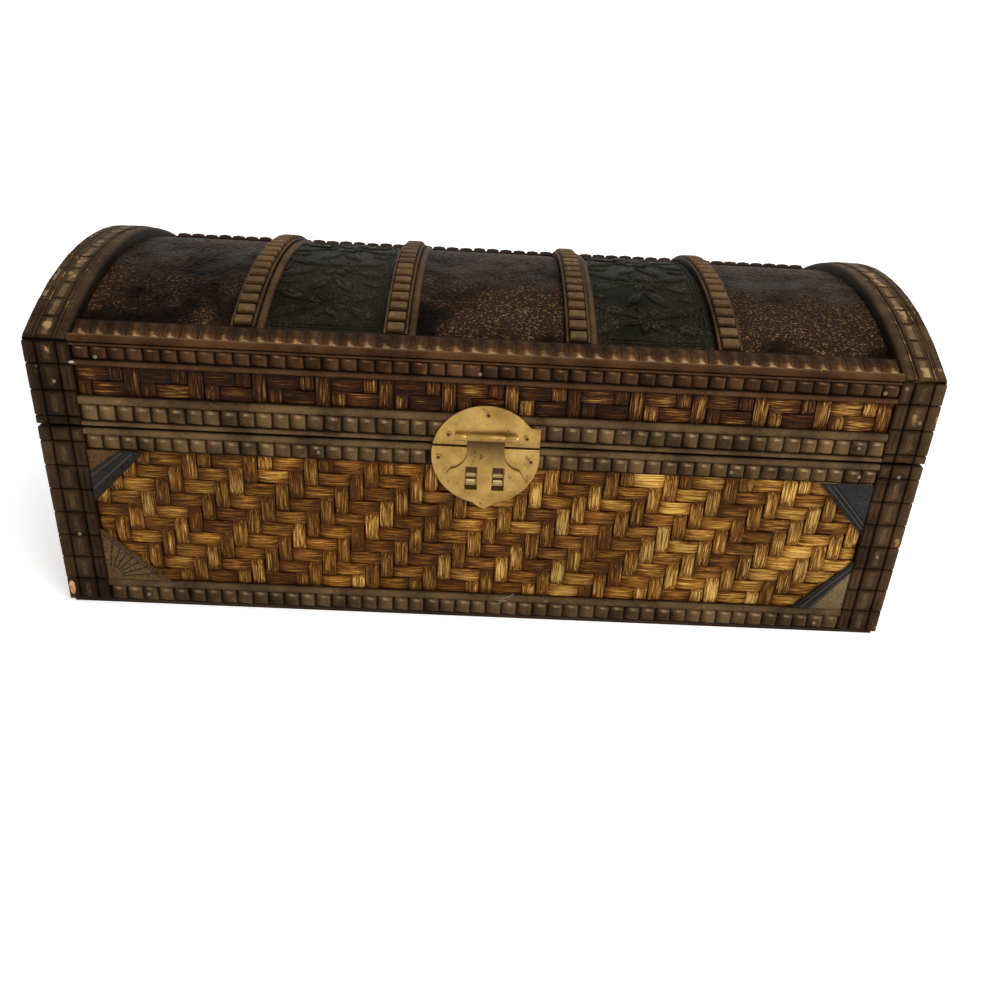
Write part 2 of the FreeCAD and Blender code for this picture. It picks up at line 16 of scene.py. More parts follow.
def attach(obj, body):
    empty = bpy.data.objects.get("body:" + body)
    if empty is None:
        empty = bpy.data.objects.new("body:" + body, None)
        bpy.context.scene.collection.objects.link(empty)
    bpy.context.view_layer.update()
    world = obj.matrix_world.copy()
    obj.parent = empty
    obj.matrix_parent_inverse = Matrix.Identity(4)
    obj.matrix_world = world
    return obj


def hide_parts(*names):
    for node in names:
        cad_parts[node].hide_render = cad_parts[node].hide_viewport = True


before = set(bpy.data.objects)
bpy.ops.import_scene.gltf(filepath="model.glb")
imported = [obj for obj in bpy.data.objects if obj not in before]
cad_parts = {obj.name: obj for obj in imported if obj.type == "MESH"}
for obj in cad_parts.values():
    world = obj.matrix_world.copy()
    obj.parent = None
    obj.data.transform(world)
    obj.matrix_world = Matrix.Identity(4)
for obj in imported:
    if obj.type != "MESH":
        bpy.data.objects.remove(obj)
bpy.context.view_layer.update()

mm = 0.001
chance = random.Random(11)

# %% Sizes shared by the pieces, as in the solids
HALF_LENGTH, HALF_DEPTH = 175.0 * mm, 76.0 * mm
BOARD_X, BOARD_Y = 171.5 * mm, 72.5 * mm  # outer faces of the boards
RAIL_X, RAIL_Y = 157.5 * mm, 58.5 * mm  # half a rail's length between the posts
FOOT, SEAM, SHOULDER, CROWN_TOP = 1.6 * mm, 83.3 * mm, 119.7 * mm, 118.0 * mm  # heights
WEAVE_LOW, WEAVE_HIGH, WEAVE_STAND = 12.3 * mm, 73.3 * mm, 2.3 * mm  # the woven panels of the base
VALLEY, STAND, TOOTH = 1.9 * mm, 3.5 * mm, 3.3 * mm  # how far spine, bead and teeth stand off the boards
PITCH = 6.75 * mm  # from one notch to the next
DOME_RADIUS, SHELL_RADIUS, DOME_Z = 163.02 * mm, 157.52 * mm, -24.52 * mm  # mouldings, shell and their axis
# Each side's run from left to right, as seen from outside, and the way it faces
SIDES = {
    "front": (Vector((1, 0, 0)), Vector((0, -1, 0))),
    "back": (Vector((-1, 0, 0)), Vector((0, 1, 0))),
    "left": (Vector((0, -1, 0)), Vector((-1, 0, 0))),
    "right": (Vector((0, 1, 0)), Vector((1, 0, 0))),
}
print("dome radius", round(DOME_RADIUS / mm, 2), "mm")

# %% [markdown]
# ## Small helpers
# A modelling operator works on whatever is selected, so each helper first clears the selection and picks
# its own piece. Vertices, edges and faces are picked by where they lie, just as a modeller would box-select
# them.

# %% Helpers for picking and shaping
def only(*pieces):
    if bpy.context.mode != "OBJECT":
        bpy.ops.object.mode_set(mode="OBJECT")
    bpy.ops.object.select_all(action="DESELECT")
    for piece in pieces:
        piece.select_set(True)
    bpy.context.view_layer.objects.active = pieces[0]


def open_up(piece, kind="VERT"):
    # Into edit mode, with everything selected
    only(piece)
    bpy.ops.object.mode_set(mode="EDIT")
    bpy.ops.mesh.select_mode(type=kind)
    bpy.ops.mesh.select_all(action="SELECT")


def done():
    bpy.ops.object.mode_set(mode="OBJECT")


def pick(piece, test, kind="VERT"):
    open_up(piece, kind)
    bpy.ops.mesh.select_all(action="DESELECT")
    done()
    mesh = piece.data
    if kind == "VERT":
        for vertex in mesh.vertices:
            vertex.select = test(vertex.co)
    elif kind == "FACE":
        for face in mesh.polygons:
            face.select = test(face.center, face.normal)
    else:
        for edge in mesh.edges:
            first, second = (mesh.vertices[index].co for index in edge.vertices)
            edge.select = test(first, second)
    bpy.ops.object.mode_set(mode="EDIT")


def applied(name):
    # The newest piece, with its place and size made part of its shape
    bpy.ops.object.transform_apply(location=True, rotation=True, scale=True)
    piece = bpy.context.active_object
    piece.name = name
    return piece


def block(name, size, centre=(0, 0, 0)):
    bpy.ops.object.select_all(action="DESELECT")
    bpy.ops.mesh.primitive_cube_add(size=1, location=centre)
    bpy.ops.transform.resize(value=size)
    return applied(name)


def ball(name, size, centre=(0, 0, 0), segments=16, rings=6, radius=0.5):
    bpy.ops.object.select_all(action="DESELECT")
    bpy.ops.mesh.primitive_uv_sphere_add(segments=segments, ring_count=rings, radius=radius, location=centre)
    bpy.ops.transform.resize(value=size)
    return applied(name)


def slice_at(piece, axis, places):
    open_up(piece)
    for place in places:
        bpy.ops.mesh.select_all(action="SELECT")
        bpy.ops.mesh.bisect(plane_co=Vector(axis) * place, plane_no=axis)
    done()


def nudge(piece, test, move):
    pick(piece, test)
    bpy.ops.transform.translate(value=move)
    done()


def inset(piece, test, *steps):
    # Each step draws the picked faces in and then lifts or sinks them
    pick(piece, test, "FACE")
    for thickness, depth in steps:
        bpy.ops.mesh.inset(thickness=thickness, depth=depth)
    done()


def bevel_top(piece, above, width, segments):
    pick(piece, lambda first, second: max(first.z, second.z) > above, "EDGE")
    bpy.ops.mesh.bevel(offset=width, segments=segments, affect="EDGES")
    done()


def ease(piece, width, segments=2, angle=30):
    only(piece)
    soft = piece.modifiers.new("eased edges", "BEVEL")
    soft.width = width
    soft.segments = segments
    soft.limit_method = "ANGLE"
    soft.angle_limit = math.radians(angle)
    soft.use_clamp_overlap = True
    bpy.ops.object.modifier_apply(modifier=soft.name)


def roughen(piece, strength, size):
    clouds = bpy.data.textures.new("hand cut", "CLOUDS")
    clouds.noise_scale = size
    only(piece)
    cut = piece.modifiers.new("hand cut", "DISPLACE")
    cut.texture = clouds
    cut.texture_coords = "LOCAL"
    cut.strength = strength
    bpy.ops.object.modifier_apply(modifier=cut.name)


# %% Helpers for values on the surface and for copies
def note(piece, name, value):
    # A number for each vertex, which the finishes read: "tone" makes a piece darker or paler, at random and
    # in places as painted shade; "crest" is how exposed a place is, which sets the wear and also the painted
    # highlights and the painted shade in hollows; and the third, on brass, is tarnish together with painted
    # shade
    layer = piece.data.attributes.get(name)
    if layer is None:
        layer = piece.data.attributes.new(name, "FLOAT", "POINT")
    if callable(value):
        numbers = [min(1.0, max(0.0, value(vertex.co))) for vertex in piece.data.vertices]
    else:
        numbers = [value] * len(piece.data.vertices)
    layer.data.foreach_set("value", numbers)


def mark(piece, crest, tone=0.5):
    note(piece, "crest", crest)
    note(piece, "tone", tone)
    return piece


def linked(name, data):
    piece = bpy.data.objects.new(name, data)
    bpy.context.collection.objects.link(piece)
    return piece


def turned(piece, place):
    piece.data.transform(place)
    return piece


def joined(name, pieces):
    only(*pieces)
    if len(pieces) > 1:
        bpy.ops.object.join()
    piece = bpy.context.active_object
    piece.name = name
    return piece


def lay(pattern, places):
    # Copies of one modelled shape, each with its own mesh, its own place and its own tone
    copies = []
    for place, tone in places:
        copy = turned(linked(pattern.name, pattern.data.copy()), place)
        note(copy, "tone", tone)
        copies.append(copy)
    return joined(pattern.name, copies)


def drop(*pieces):
    only(*pieces)
    bpy.ops.object.delete()


def hand_over(piece, name, body, nodes, finishes, angle=35):
    only(piece)
    bpy.ops.object.shade_smooth_by_angle(angle=math.radians(angle))
    piece.name = name
    piece.data.name = name
    for finish in finishes:
        piece.data.materials.append(finish)
    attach(piece, body)
    if nodes:
        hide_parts(*nodes)
    print(name, len(piece.data.polygons), "faces on", body)
    return piece


# %% Helpers for places and small differences
def swing(degrees, axis="Z"):
    return Matrix.Rotation(math.radians(degrees), 4, axis)


def axes(first, second, third, place):
    # Lays x, y and z along three directions, with the origin at a place
    return Matrix([list(row) for row in zip(first, second, third, place)] + [[0, 0, 0, 1]])


def even(reach, count):
    # The middles of equal steps from one end of a run to the other
    return [-reach + 2 * reach * (index + 0.5) / count for index in range(count)]


def uneven(wide, high, deep):
    # Hand-cut pieces differ a little, each way between its own limits
    return Matrix.Diagonal((chance.uniform(*wide), chance.uniform(*high), chance.uniform(*deep), 1))


def round_the_box(make):
    # A piece each for the front and the back, and one for both ends
    for place, sides in (("front", ["front"]), ("back", ["back"]), ("ends", ["left", "right"])):
        yield place, joined(place, [make(side) for side in sides])


def run_of(side):
    return 2 * RAIL_X if side in ("front", "back") else 2 * RAIL_Y


def stand_on(side, height):
    # Flat-made pieces have x along the run, y up across it and z out from the board
    along, out = SIDES[side]
    return axes(along, (0, 0, 1), out, (out.x * BOARD_X, out.y * BOARD_Y, height))


def on_dome(x, angle, radius):
    # A flat-made piece lands on the dome: x stays, y runs back over the dome and z points out
    turn = Matrix.Rotation(-angle, 4, "X")
    return Matrix.Translation((0, 0, DOME_Z)) @ turn @ Matrix.Translation((x, 0, radius))


# %% Helpers for long mouldings, straight and bent
def ring(name, points):
    bpy.ops.object.select_all(action="DESELECT")
    bpy.ops.mesh.primitive_circle_add(vertices=len(points), radius=mm)
    piece = bpy.context.active_object
    piece.name = name
    for vertex, point in zip(piece.data.vertices, points):
        vertex.co = point
    return piece


def capped(piece):
    bpy.ops.mesh.select_all(action="SELECT")
    bpy.ops.mesh.remove_doubles(threshold=0.001 * mm)
    bpy.ops.mesh.fill_holes(sides=0)
    bpy.ops.mesh.normals_make_consistent(inside=False)
    done()
    return piece


def strip_along(name, section, length, steps):
    # Extrudes an outline of (y, z) points in short steps, so that the strip can be uneven later
    piece = ring(name, [Vector((-length / 2, y, z)) for y, z in section])
    open_up(piece, "EDGE")
    for _ in range(steps):
        bpy.ops.mesh.extrude_edges_move(TRANSFORM_OT_translate={"value": (length / steps, 0, 0)})
    return capped(piece)


def strip_over(name, section, half_angle, steps):
    # Spins an outline of (x, radius) points over the dome
    low = Matrix.Translation((0, 0, DOME_Z)) @ Matrix.Rotation(half_angle, 4, "X")
    piece = ring(name, [low @ Vector((x, 0, radius)) for x, radius in section])
    open_up(piece)
    bpy.ops.mesh.spin(steps=steps, angle=2 * half_angle, center=(0, 0, DOME_Z), axis=(1, 0, 0))
    return capped(piece)


def ridge_section(width, foot, top, flat=0.3):
    # The outline of a low ridge with sloping sides. Flat is the reach of its top, in widths from the middle
    return [(-width / 2, foot), (-width * flat, top), (width * flat, top), (width / 2, foot)]


# %% [markdown]
# ## Finishes
# Old carved wood, cane, leather and brass share a few effects: colour that drifts in patches, wear where
# hands rub and pale dust on what faces up. The finishes also paint shade into the hollows and paint
# highlights on what stands proud. Each effect is a node group made once, and each finish sets its own
# values. The groups only give colours and masks, and the shader stays in the finish.

# %% Helpers for nodes
def new_group(name, inputs, outputs):
    group = bpy.data.node_groups.new(name, "ShaderNodeTree")
    for label, kind, value in inputs:
        socket = group.interface.new_socket(name=label, in_out="INPUT", socket_type=kind)
        if value is not None:
            socket.default_value = value
    for label, kind in outputs:
        group.interface.new_socket(name=label, in_out="OUTPUT", socket_type=kind)
    return group, group.nodes.new("NodeGroupInput"), group.nodes.new("NodeGroupOutput")


def feed(tree, value, socket):
    if isinstance(value, bpy.types.NodeSocket):
        tree.links.new(value, socket)
    else:
        socket.default_value = value


def add(tree, kind, settings=None, **inputs):
    node = tree.nodes.new(kind)
    for key, value in (settings or {}).items():
        setattr(node, key, value)
    for key, value in inputs.items():
        feed(tree, value, node.inputs[key.replace("_", " ")])
    return node


def wired(tree, kind, settings, values, output=0):
    # Some nodes have several sockets of one name, so these are told apart by their number
    node = add(tree, kind, settings)
    for number, value in values.items():
        feed(tree, value, node.inputs[number])
    return node.outputs[output]


def maths(tree, operation, first, second, clamp):
    return wired(tree, "ShaderNodeMath", {"operation": operation, "use_clamp": clamp}, {0: first, 1: second})


def plus(tree, first, second, clamp=False):
    return maths(tree, "ADD", first, second, clamp)


def minus(tree, first, second, clamp=False):
    return maths(tree, "SUBTRACT", first, second, clamp)


def times(tree, first, second, clamp=False):
    return maths(tree, "MULTIPLY", first, second, clamp)


def ramp(tree, value, start, gain):
    # A straight line: start where the value is nought, and start + gain where it is one
    return plus(tree, start, times(tree, value, gain))


def blend(tree, mask, first, second, kind="MIX"):
    settings = {"data_type": "RGBA", "blend_type": kind}
    return wired(tree, "ShaderNodeMix", settings, {0: mask, 6: first, 7: second}, 2)


def step_between(tree, value, low, high):
    settings = {"interpolation_type": "SMOOTHSTEP"}
    return wired(tree, "ShaderNodeMapRange", settings, {0: value, 1: low, 2: high})


def speckle(tree, vector, scale, detail=3.0, roughness=0.55):
    noise = add(tree, "ShaderNodeTexNoise", Vector=vector, Scale=scale, Detail=detail, Roughness=roughness)
    return noise.outputs[0]


# %% The shared effects
COLOUR, NUMBER, ARROW = "NodeSocketColor", "NodeSocketFloat", "NodeSocketVector"

# Colour that drifts between two shades in patches and fine grain
drift, came, gone = new_group(
    "drifting colour",
    (("Vector", ARROW, None), ("Dark", COLOUR, (0, 0, 0, 1)), ("Light", COLOUR, (1, 1, 1, 1)),
     ("Patch Scale", NUMBER, 60.0), ("Grain Scale", NUMBER, 900.0), ("Grain", NUMBER, 0.5)),
    (("Colour", COLOUR), ("Grain", NUMBER)))
patch = speckle(drift, came.outputs["Vector"], came.outputs["Patch Scale"], 4.0)
grain = speckle(drift, came.outputs["Vector"], came.outputs["Grain Scale"], 5.0, 0.65)
patch = step_between(drift, patch, 0.3, 0.7)
fine = times(drift, minus(drift, grain, 0.5), came.outputs["Grain"])
amount = plus(drift, patch, times(drift, fine, 2.0), True)
feed(drift, blend(drift, amount, came.outputs["Dark"], came.outputs["Light"]), gone.inputs["Colour"])
feed(drift, grain, gone.inputs["Grain"])

# Wear on whatever stands proud, broken up by noise
wear, came, gone = new_group(
    "rubbed edges",
    (("Vector", ARROW, None), ("Crest", NUMBER, 0.0), ("Start", NUMBER, 0.6), ("Scale", NUMBER, 300.0),
     ("Ragged", NUMBER, 0.5)),
    (("Mask", NUMBER),))
rag = minus(wear, speckle(wear, came.outputs["Vector"], came.outputs["Scale"], 4.0, 0.6), 0.5)
rag = times(wear, rag, came.outputs["Ragged"])
level = plus(wear, came.outputs["Crest"], times(wear, rag, 2.0))
end = plus(wear, came.outputs["Start"], 0.3)
feed(wear, step_between(wear, level, came.outputs["Start"], end), gone.inputs["Mask"])

# Dust that settles on faces turned up and stays off faces turned down
dust, came, gone = new_group(
    "settled dust",
    (("Vector", ARROW, None), ("Scale", NUMBER, 200.0), ("Cover", NUMBER, 0.5)),
    (("Mask", NUMBER),))
facing = add(dust, "ShaderNodeNewGeometry")
upward = add(dust, "ShaderNodeSeparateXYZ", Vector=facing.outputs["Normal"]).outputs["Z"]
upward = step_between(dust, upward, -0.2, 0.9)
cloud = step_between(dust, speckle(dust, came.outputs["Vector"], came.outputs["Scale"], 5.0, 0.6), 0.35, 0.7)
feed(dust, times(dust, times(dust, upward, cloud), came.outputs["Cover"], True), gone.inputs["Mask"])

# Long fibres: noise drawn out along the strip
fibre, came, gone = new_group(
    "drawn-out fibres",
    (("Vector", ARROW, None), ("Stretch", ARROW, (60.0, 60.0, 900.0))),
    (("Fine", NUMBER), ("Broad", NUMBER)))
drawn = wired(fibre, "ShaderNodeVectorMath", {"operation": "MULTIPLY"},
              {0: came.outputs["Vector"], 1: came.outputs["Stretch"]})
feed(fibre, speckle(fibre, drawn, 2.4, 3.0, 0.6), gone.inputs["Fine"])
feed(fibre, speckle(fibre, drawn, 0.7, 2.0), gone.inputs["Broad"])

# Pebbled hide: rounded cells with dark creases between them
pebble, came, gone = new_group(
    "pebbled hide",
    (("Vector", ARROW, None), ("Scale", NUMBER, 700.0)),
    (("Height", NUMBER), ("Crease", NUMBER)))
warp = add(pebble, "ShaderNodeTexNoise", Vector=came.outputs["Vector"], Scale=350.0, Detail=2.0)
swirl = wired(pebble, "ShaderNodeVectorMath", {"operation": "MULTIPLY_ADD"},
              {0: warp.outputs[1], 1: (0.0016, 0.0016, 0.0016), 2: came.outputs["Vector"]})
cells = add(pebble, "ShaderNodeTexVoronoi", {"feature": "SMOOTH_F1"}, Vector=swirl,
            Scale=came.outputs["Scale"]).outputs[0]
feed(pebble, minus(pebble, 1.0, cells, True), gone.inputs["Height"])
feed(pebble, step_between(pebble, cells, 0.45, 0.75), gone.inputs["Crease"])
print("effects", [group.name for group in bpy.data.node_groups])

# %% Helpers for finishes
def new_finish(name, shine=0.5):
    finish = bpy.data.materials.new(name)
    finish.use_nodes = True
    tree = finish.node_tree
    shader = tree.nodes["Principled BSDF"]
    shader.inputs["Specular IOR Level"].default_value = shine
    place = tree.nodes.new("ShaderNodeTexCoord").outputs["Object"]
    return finish, tree, shader, place


def plain_finish(name, colour, rough, shine, metal=0.0):
    finish, _, shader, _ = new_finish(name, shine)
    shader.inputs["Base Color"].default_value = colour + (1,)
    shader.inputs["Roughness"].default_value = rough
    shader.inputs["Metallic"].default_value = metal
    return finish


def use(tree, group, **inputs):
    return add(tree, "ShaderNodeGroup", {"node_tree": group}, **inputs)


def value_of(tree, name):
    return add(tree, "ShaderNodeAttribute", {"attribute_name": name}).outputs["Fac"]


def grey_of(tree, value):
    return add(tree, "ShaderNodeCombineColor", Red=value, Green=value, Blue=value).outputs[0]


def bump(tree, shader, height, depth, strength=1.0):
    node = add(tree, "ShaderNodeBump", Height=height, Distance=depth, Strength=strength)
    feed(tree, node.outputs[0], shader.inputs["Normal"])


def scaled(colour, factor):
    return tuple(part * factor for part in colour) + (1,)


def seen_rays(tree):
    # One for the rays that the camera sees straight, in a shine or through glass, and nought for the rest
    path = tree.nodes.new("ShaderNodeLightPath")
    seen = plus(tree, path.outputs["Is Camera Ray"], path.outputs["Is Glossy Ray"], True)
    return plus(tree, seen, path.outputs["Is Transmission Ray"], True)


# %% [markdown]
# ### Carved wood
# The mouldings are stained a dark red-brown. Years of handling have rubbed the crests back to warmer wood,
# and a soft highlight is painted on them too; the valleys are painted almost black as shade, and a grey
# film of dust lies on every face that looks up. "Crest" is a number that each moulding carries on its
# vertices, so one finish serves flat rails, posts and bent bands.

# %% Carved wood finishes
def carved_wood(name, dark, light, rubbed, bright, dusty, cover, start, chip=0.67):
    # The colours are the stain's two shades, the rubbed crests with their painted highlight, the chips and
    # the dust. Cover is how thick the dust lies, start is the crest at which rubbing and the painted
    # highlight begin, and a high chip leaves fewer chips.
    finish, tree, shader, place = new_finish(name, 0.03)
    tone, crest = value_of(tree, "tone"), value_of(tree, "crest")
    body = use(tree, drift, Vector=place, Dark=scaled(dark, 1), Light=scaled(light, 1), Patch_Scale=55.0,
               Grain_Scale=1300.0, Grain=0.55)
    worn = use(tree, wear, Vector=place, Crest=crest, Start=start, Scale=420.0, Ragged=0.6).outputs["Mask"]
    # A smooth painted highlight on the crests, mixed with the ragged wear
    soft = step_between(tree, crest, start - 0.2, start + 0.35)
    worn = plus(tree, times(tree, worn, 0.35), times(tree, soft, 0.6), True)
    colour = blend(tree, worn, body.outputs["Colour"], scaled(rubbed, 1))
    lot = grey_of(tree, ramp(tree, tone, 0.6, 0.8))
    colour = blend(tree, 1.0, colour, lot, "MULTIPLY")
    chips = step_between(tree, speckle(tree, place, 130.0, 3.0, 0.6), chip, chip + 0.06)
    chips = times(tree, chips, step_between(tree, crest, 0.45, 0.8))
    colour = blend(tree, times(tree, chips, 0.75), colour, scaled(bright, 1))
    film = use(tree, dust, Vector=place, Scale=350.0, Cover=cover).outputs["Mask"]
    colour = blend(tree, film, colour, scaled(dusty, 1))
    # Painted shade: the lower the crest, the darker the colour, down to almost black in the valleys
    hollow_shade = ramp(tree, step_between(tree, crest, 0.0, 0.4), 0.16, 0.84)
    feed(tree, blend(tree, 1.0, colour, grey_of(tree, hollow_shade), "MULTIPLY"), shader.inputs["Base Color"])
    feed(tree, ramp(tree, film, 0.5, 0.25), shader.inputs["Roughness"])
    bump(tree, shader, body.outputs["Grain"], 0.35 * mm, 0.55)
    return finish


rail_wood = carved_wood("carved rail wood", (0.032, 0.017, 0.0075), (0.124, 0.072, 0.03),
                        (0.25, 0.165, 0.085), (0.42, 0.17, 0.05), (0.12, 0.084, 0.05), 0.35, 0.66)
shaded_wood = carved_wood("shaded rail wood", (0.018, 0.008, 0.0035), (0.075, 0.034, 0.014),
                          (0.25, 0.11, 0.04), (0.42, 0.14, 0.045), (0.07, 0.044, 0.024), 0.3, 0.62)
post_wood = carved_wood("carved post wood", (0.017, 0.0088, 0.004), (0.055, 0.029, 0.0125),
                        (0.145, 0.092, 0.047), (0.4, 0.2, 0.06), (0.057, 0.037, 0.021), 0.28, 0.8, 0.64)
bent_wood = carved_wood("bent band wood", (0.021, 0.011, 0.0045), (0.061, 0.033, 0.0125), (0.2, 0.12, 0.053),
                        (0.36, 0.23, 0.1), (0.065, 0.042, 0.023), 0.3, 0.86, 0.57)
rib_wood = carved_wood("ribbed band wood", (0.022, 0.01, 0.004), (0.082, 0.041, 0.0135), (0.34, 0.2, 0.078),
                       (0.5, 0.3, 0.1), (0.09, 0.06, 0.032), 0.3, 0.6)
ledge_wood = carved_wood("ledge wood", (0.028, 0.011, 0.004), (0.085, 0.037, 0.013), (0.42, 0.25, 0.115),
                         (0.5, 0.24, 0.09), (0.08, 0.05, 0.026), 0.25, 0.72)
print("carved wood finishes made")

# %% Plain dark board finish
board_wood, tree, shader, place = new_finish("dark board wood", 0.05)
lines = use(tree, fibre, Vector=place, Stretch=(25.0, 420.0, 420.0))
body = use(tree, drift, Vector=place, Dark=(0.012, 0.007, 0.005, 1), Light=(0.035, 0.02, 0.012, 1),
           Patch_Scale=30.0, Grain_Scale=700.0, Grain=0.4)
streak = times(tree, lines.outputs["Fine"], 0.5)
feed(tree, blend(tree, streak, body.outputs["Colour"], (0.05, 0.028, 0.016, 1)), shader.inputs["Base Color"])
shader.inputs["Roughness"].default_value = 0.7
bump(tree, shader, lines.outputs["Fine"], 0.2 * mm, 0.4)

# %% [markdown]
# ### Woven strips
# The strips are split cane with long fibres, a satin skin and uneven colour from straw to dark honey. The
# fibres run along each strip, so strips that lie across and strips that stand up get their own stretch. The
# tone that each strip carries moves it between the dark, the middle and the light colour.

# %% Woven strip finishes
def cane(name, stretch, dark, middle, light):
    finish, tree, shader, place = new_finish(name, 0.06)
    tone, crest = value_of(tree, "tone"), value_of(tree, "crest")
    lines = use(tree, fibre, Vector=place, Stretch=stretch)
    fine = lines.outputs["Fine"]
    level = times(tree, minus(tree, fine, 0.5), 2.8)
    level = plus(tree, level, minus(tree, lines.outputs["Broad"], 0.5))
    level = plus(tree, level, times(tree, tone, 0.75))
    # Floats are painted lighter in the middle, where they arch up, and darker where they dip under: painted
    # highlight and shade
    level = plus(tree, level, times(tree, minus(tree, crest, 0.72), 0.5), True)
    low = blend(tree, step_between(tree, level, 0.05, 0.5), scaled(dark, 1), scaled(middle, 1))
    colour = blend(tree, step_between(tree, level, 0.5, 0.98), low, scaled(light, 1))
    stain = step_between(tree, speckle(tree, place, 45.0, 4.0, 0.6), 0.42, 0.62)
    stain = ramp(tree, stain, 0.62, 0.38)
    # Painted shade at the ends and edges of each float and on the dark backing between the strips
    edge = ramp(tree, step_between(tree, crest, 0.0, 0.3), 0.3, 0.7)
    shade = grey_of(tree, times(tree, stain, edge))
    feed(tree, blend(tree, 1.0, colour, shade, "MULTIPLY"), shader.inputs["Base Color"])
    feed(tree, ramp(tree, fine, 0.34, 0.25), shader.inputs["Roughness"])
    bump(tree, shader, fine, 0.25 * mm, 0.6)
    return finish


LYING, UPRIGHT = (45.0, 45.0, 1100.0), (1100.0, 1100.0, 45.0)
cane_lying = cane("cane lying", LYING, (0.055, 0.017, 0.002), (0.24, 0.092, 0.012), (0.66, 0.385, 0.08))
cane_upright = cane("cane upright", UPRIGHT, (0.055, 0.018, 0.002), (0.22, 0.088, 0.012), (0.66, 0.41, 0.11))
dark_lying = cane("dark cane lying", LYING, (0.014, 0.004, 0.001), (0.085, 0.026, 0.004), (0.48, 0.26, 0.055))
dark_upright = cane("dark cane upright", UPRIGHT, (0.02, 0.006, 0.001), (0.105, 0.036, 0.006),
                    (0.46, 0.26, 0.06))

# %% [markdown]
# ## Woven panels
# Each wall holds a twill: every strip passes over two and under two, and each row starts one strip further
# on, which draws diagonal steps. A picture of a weave would look flat from the side, so one float is
# modelled, arched across and dipping at both ends, and is copied into every place of the pattern.

# %% One float of the weave
STRIP = 6.1 * mm


def make_float():
    # A float spans two strips and tucks under the next by a little at each end
    overlap, gap, thick, bottom = 0.9 * mm, 0.45 * mm, 0.8 * mm, 1.35 * mm
    piece = block("float", (2 * STRIP + overlap, STRIP - gap, thick), (0, 0, bottom + thick / 2))
    slice_at(piece, (1, 0, 0), [share * STRIP for share in (-0.86, -0.5, 0, 0.5, 0.86)])
    slice_at(piece, (0, 1, 0), [-0.27 * STRIP, 0.27 * STRIP])
    nudge(piece, lambda co: abs(co.x) > 0.95 * STRIP, (0, 0, -0.85 * mm))
    nudge(piece, lambda co: 0.8 * STRIP < abs(co.x) < 0.95 * STRIP, (0, 0, -0.25 * mm))
    nudge(piece, lambda co: abs(co.y) > 0.4 * STRIP, (0, 0, -0.3 * mm))

    # Crest is highest in the middle of a float and falls towards its ends and sides, where the cane finish
    # paints shade
    def crest(co):
        edge = 1.0 if abs(co.y) < 0.35 * STRIP else 0.78
        return (1.0 - 0.66 * abs(co.x / STRIP) ** 2.5) * edge

    note(piece, "crest", crest)
    return piece


float_shape = make_float()
print("float", len(float_shape.data.polygons), "faces")

# %% Weave a panel from floats
def runs(flags):
    # Start and length of each run of true values
    found, start = [], 0
    for flag, group in groupby(flags):
        count = len(list(group))
        if flag:
            found.append((start, count))
        start += count
    return found


def one_float(x, y, length, width, thinnest, turn, sway, tone_of):
    # A float's place, stretched to fit, with a slight lean and lift
    grow = Matrix.Diagonal((length / STRIP, width / STRIP * chance.uniform(thinnest, 1.02), 1, 1))
    lean = swing(turn + chance.uniform(-sway, sway))
    return Matrix.Translation((x, y, chance.uniform(-0.12, 0.1) * mm)) @ lean @ grow, tone_of(x, y)


def woven_panel(side, low, high, shift, tone_of, finishes):
    length, height, phase = run_of(side), high - low, int(side in ("left", "right"))
    columns, rows = round(length / STRIP), round(height / STRIP)
    wide, tall = length / columns, height / rows
    over = [[(column + shift * row + phase) % 4 < 2 for column in range(columns)] for row in range(rows)]
    lying, upright = [], []
    for row in range(rows):
        for start, count in runs(over[row]):
            x, y = -length / 2 + wide * (start + count / 2), height - tall * (row + 0.5)
            lying.append(one_float(x, y, count / 2 * wide, tall, 0.9, 0, 1.3, tone_of))
    for column in range(columns):
        for start, count in runs([not over[row][column] for row in range(rows)]):
            x, y = -length / 2 + wide * (column + 0.5), height - tall * (start + count / 2)
            place, tone = one_float(x, y, count / 2 * tall, wide, 0.88, 90, 1.5, tone_of)
            upright.append((place, tone + 0.06))
    # With crest and tone nought the backing is painted dark, as the shade in the gaps between the strips
    sheet = mark(block("backing", (length, height, 0.9 * mm), (0, height / 2, 0.45 * mm)), 0.0, 0.0)
    pieces = [lay(float_shape, lying), lay(float_shape, upright), sheet]
    for piece, finish in zip(pieces, (finishes[0], finishes[1], finishes[0])):
        piece.data.materials.append(finish)
    return turned(joined("woven", pieces), stand_on(side, low))


def base_tone(x, y):
    # Redder and darker over the left half, paler towards the right: the darkening at the left is painted
    # shade, away from the key light at the right
    return min(1.0, max(0.0, 0.26 + 0.3 * max(0, x / RAIL_X) + chance.gauss(0, 0.2)))


def lid_tone(x, y):
    # Darker towards the left: painted shade under the overhang of the dome and away from the key light
    return min(1.0, max(0.0, 0.19 + 0.2 * x / RAIL_X + chance.gauss(0, 0.22)))


# Piece, body, foot, top, which way the steps of the twill climb, tone and finishes
WEAVES = (
    ("base_weave", "base", WEAVE_LOW, WEAVE_HIGH, 1, base_tone, [cane_lying, cane_upright]),
    ("lid_weave", "lid", 96.2 * mm, 108.7 * mm, -1, lid_tone, [dark_lying, dark_upright]),
)
for stem, body, *rest in WEAVES:
    for place, panel in round_the_box(lambda side: woven_panel(side, *rest)):
        hand_over(panel, stem + "_strips_" + place, body, [stem + "_" + place], [])
drop(float_shape)

# %% [markdown]
# ## Notched mouldings
# Each rail is a flat spine with a rounded bead and a row of notched blocks. A carver cuts the notches one
# by one, so no two blocks match. One block is modelled with sloping sides, copied along the rail with small
# changes of size, lean and tone, and the whole rail is then roughened a little. That keeps the carving real
# at the edges.

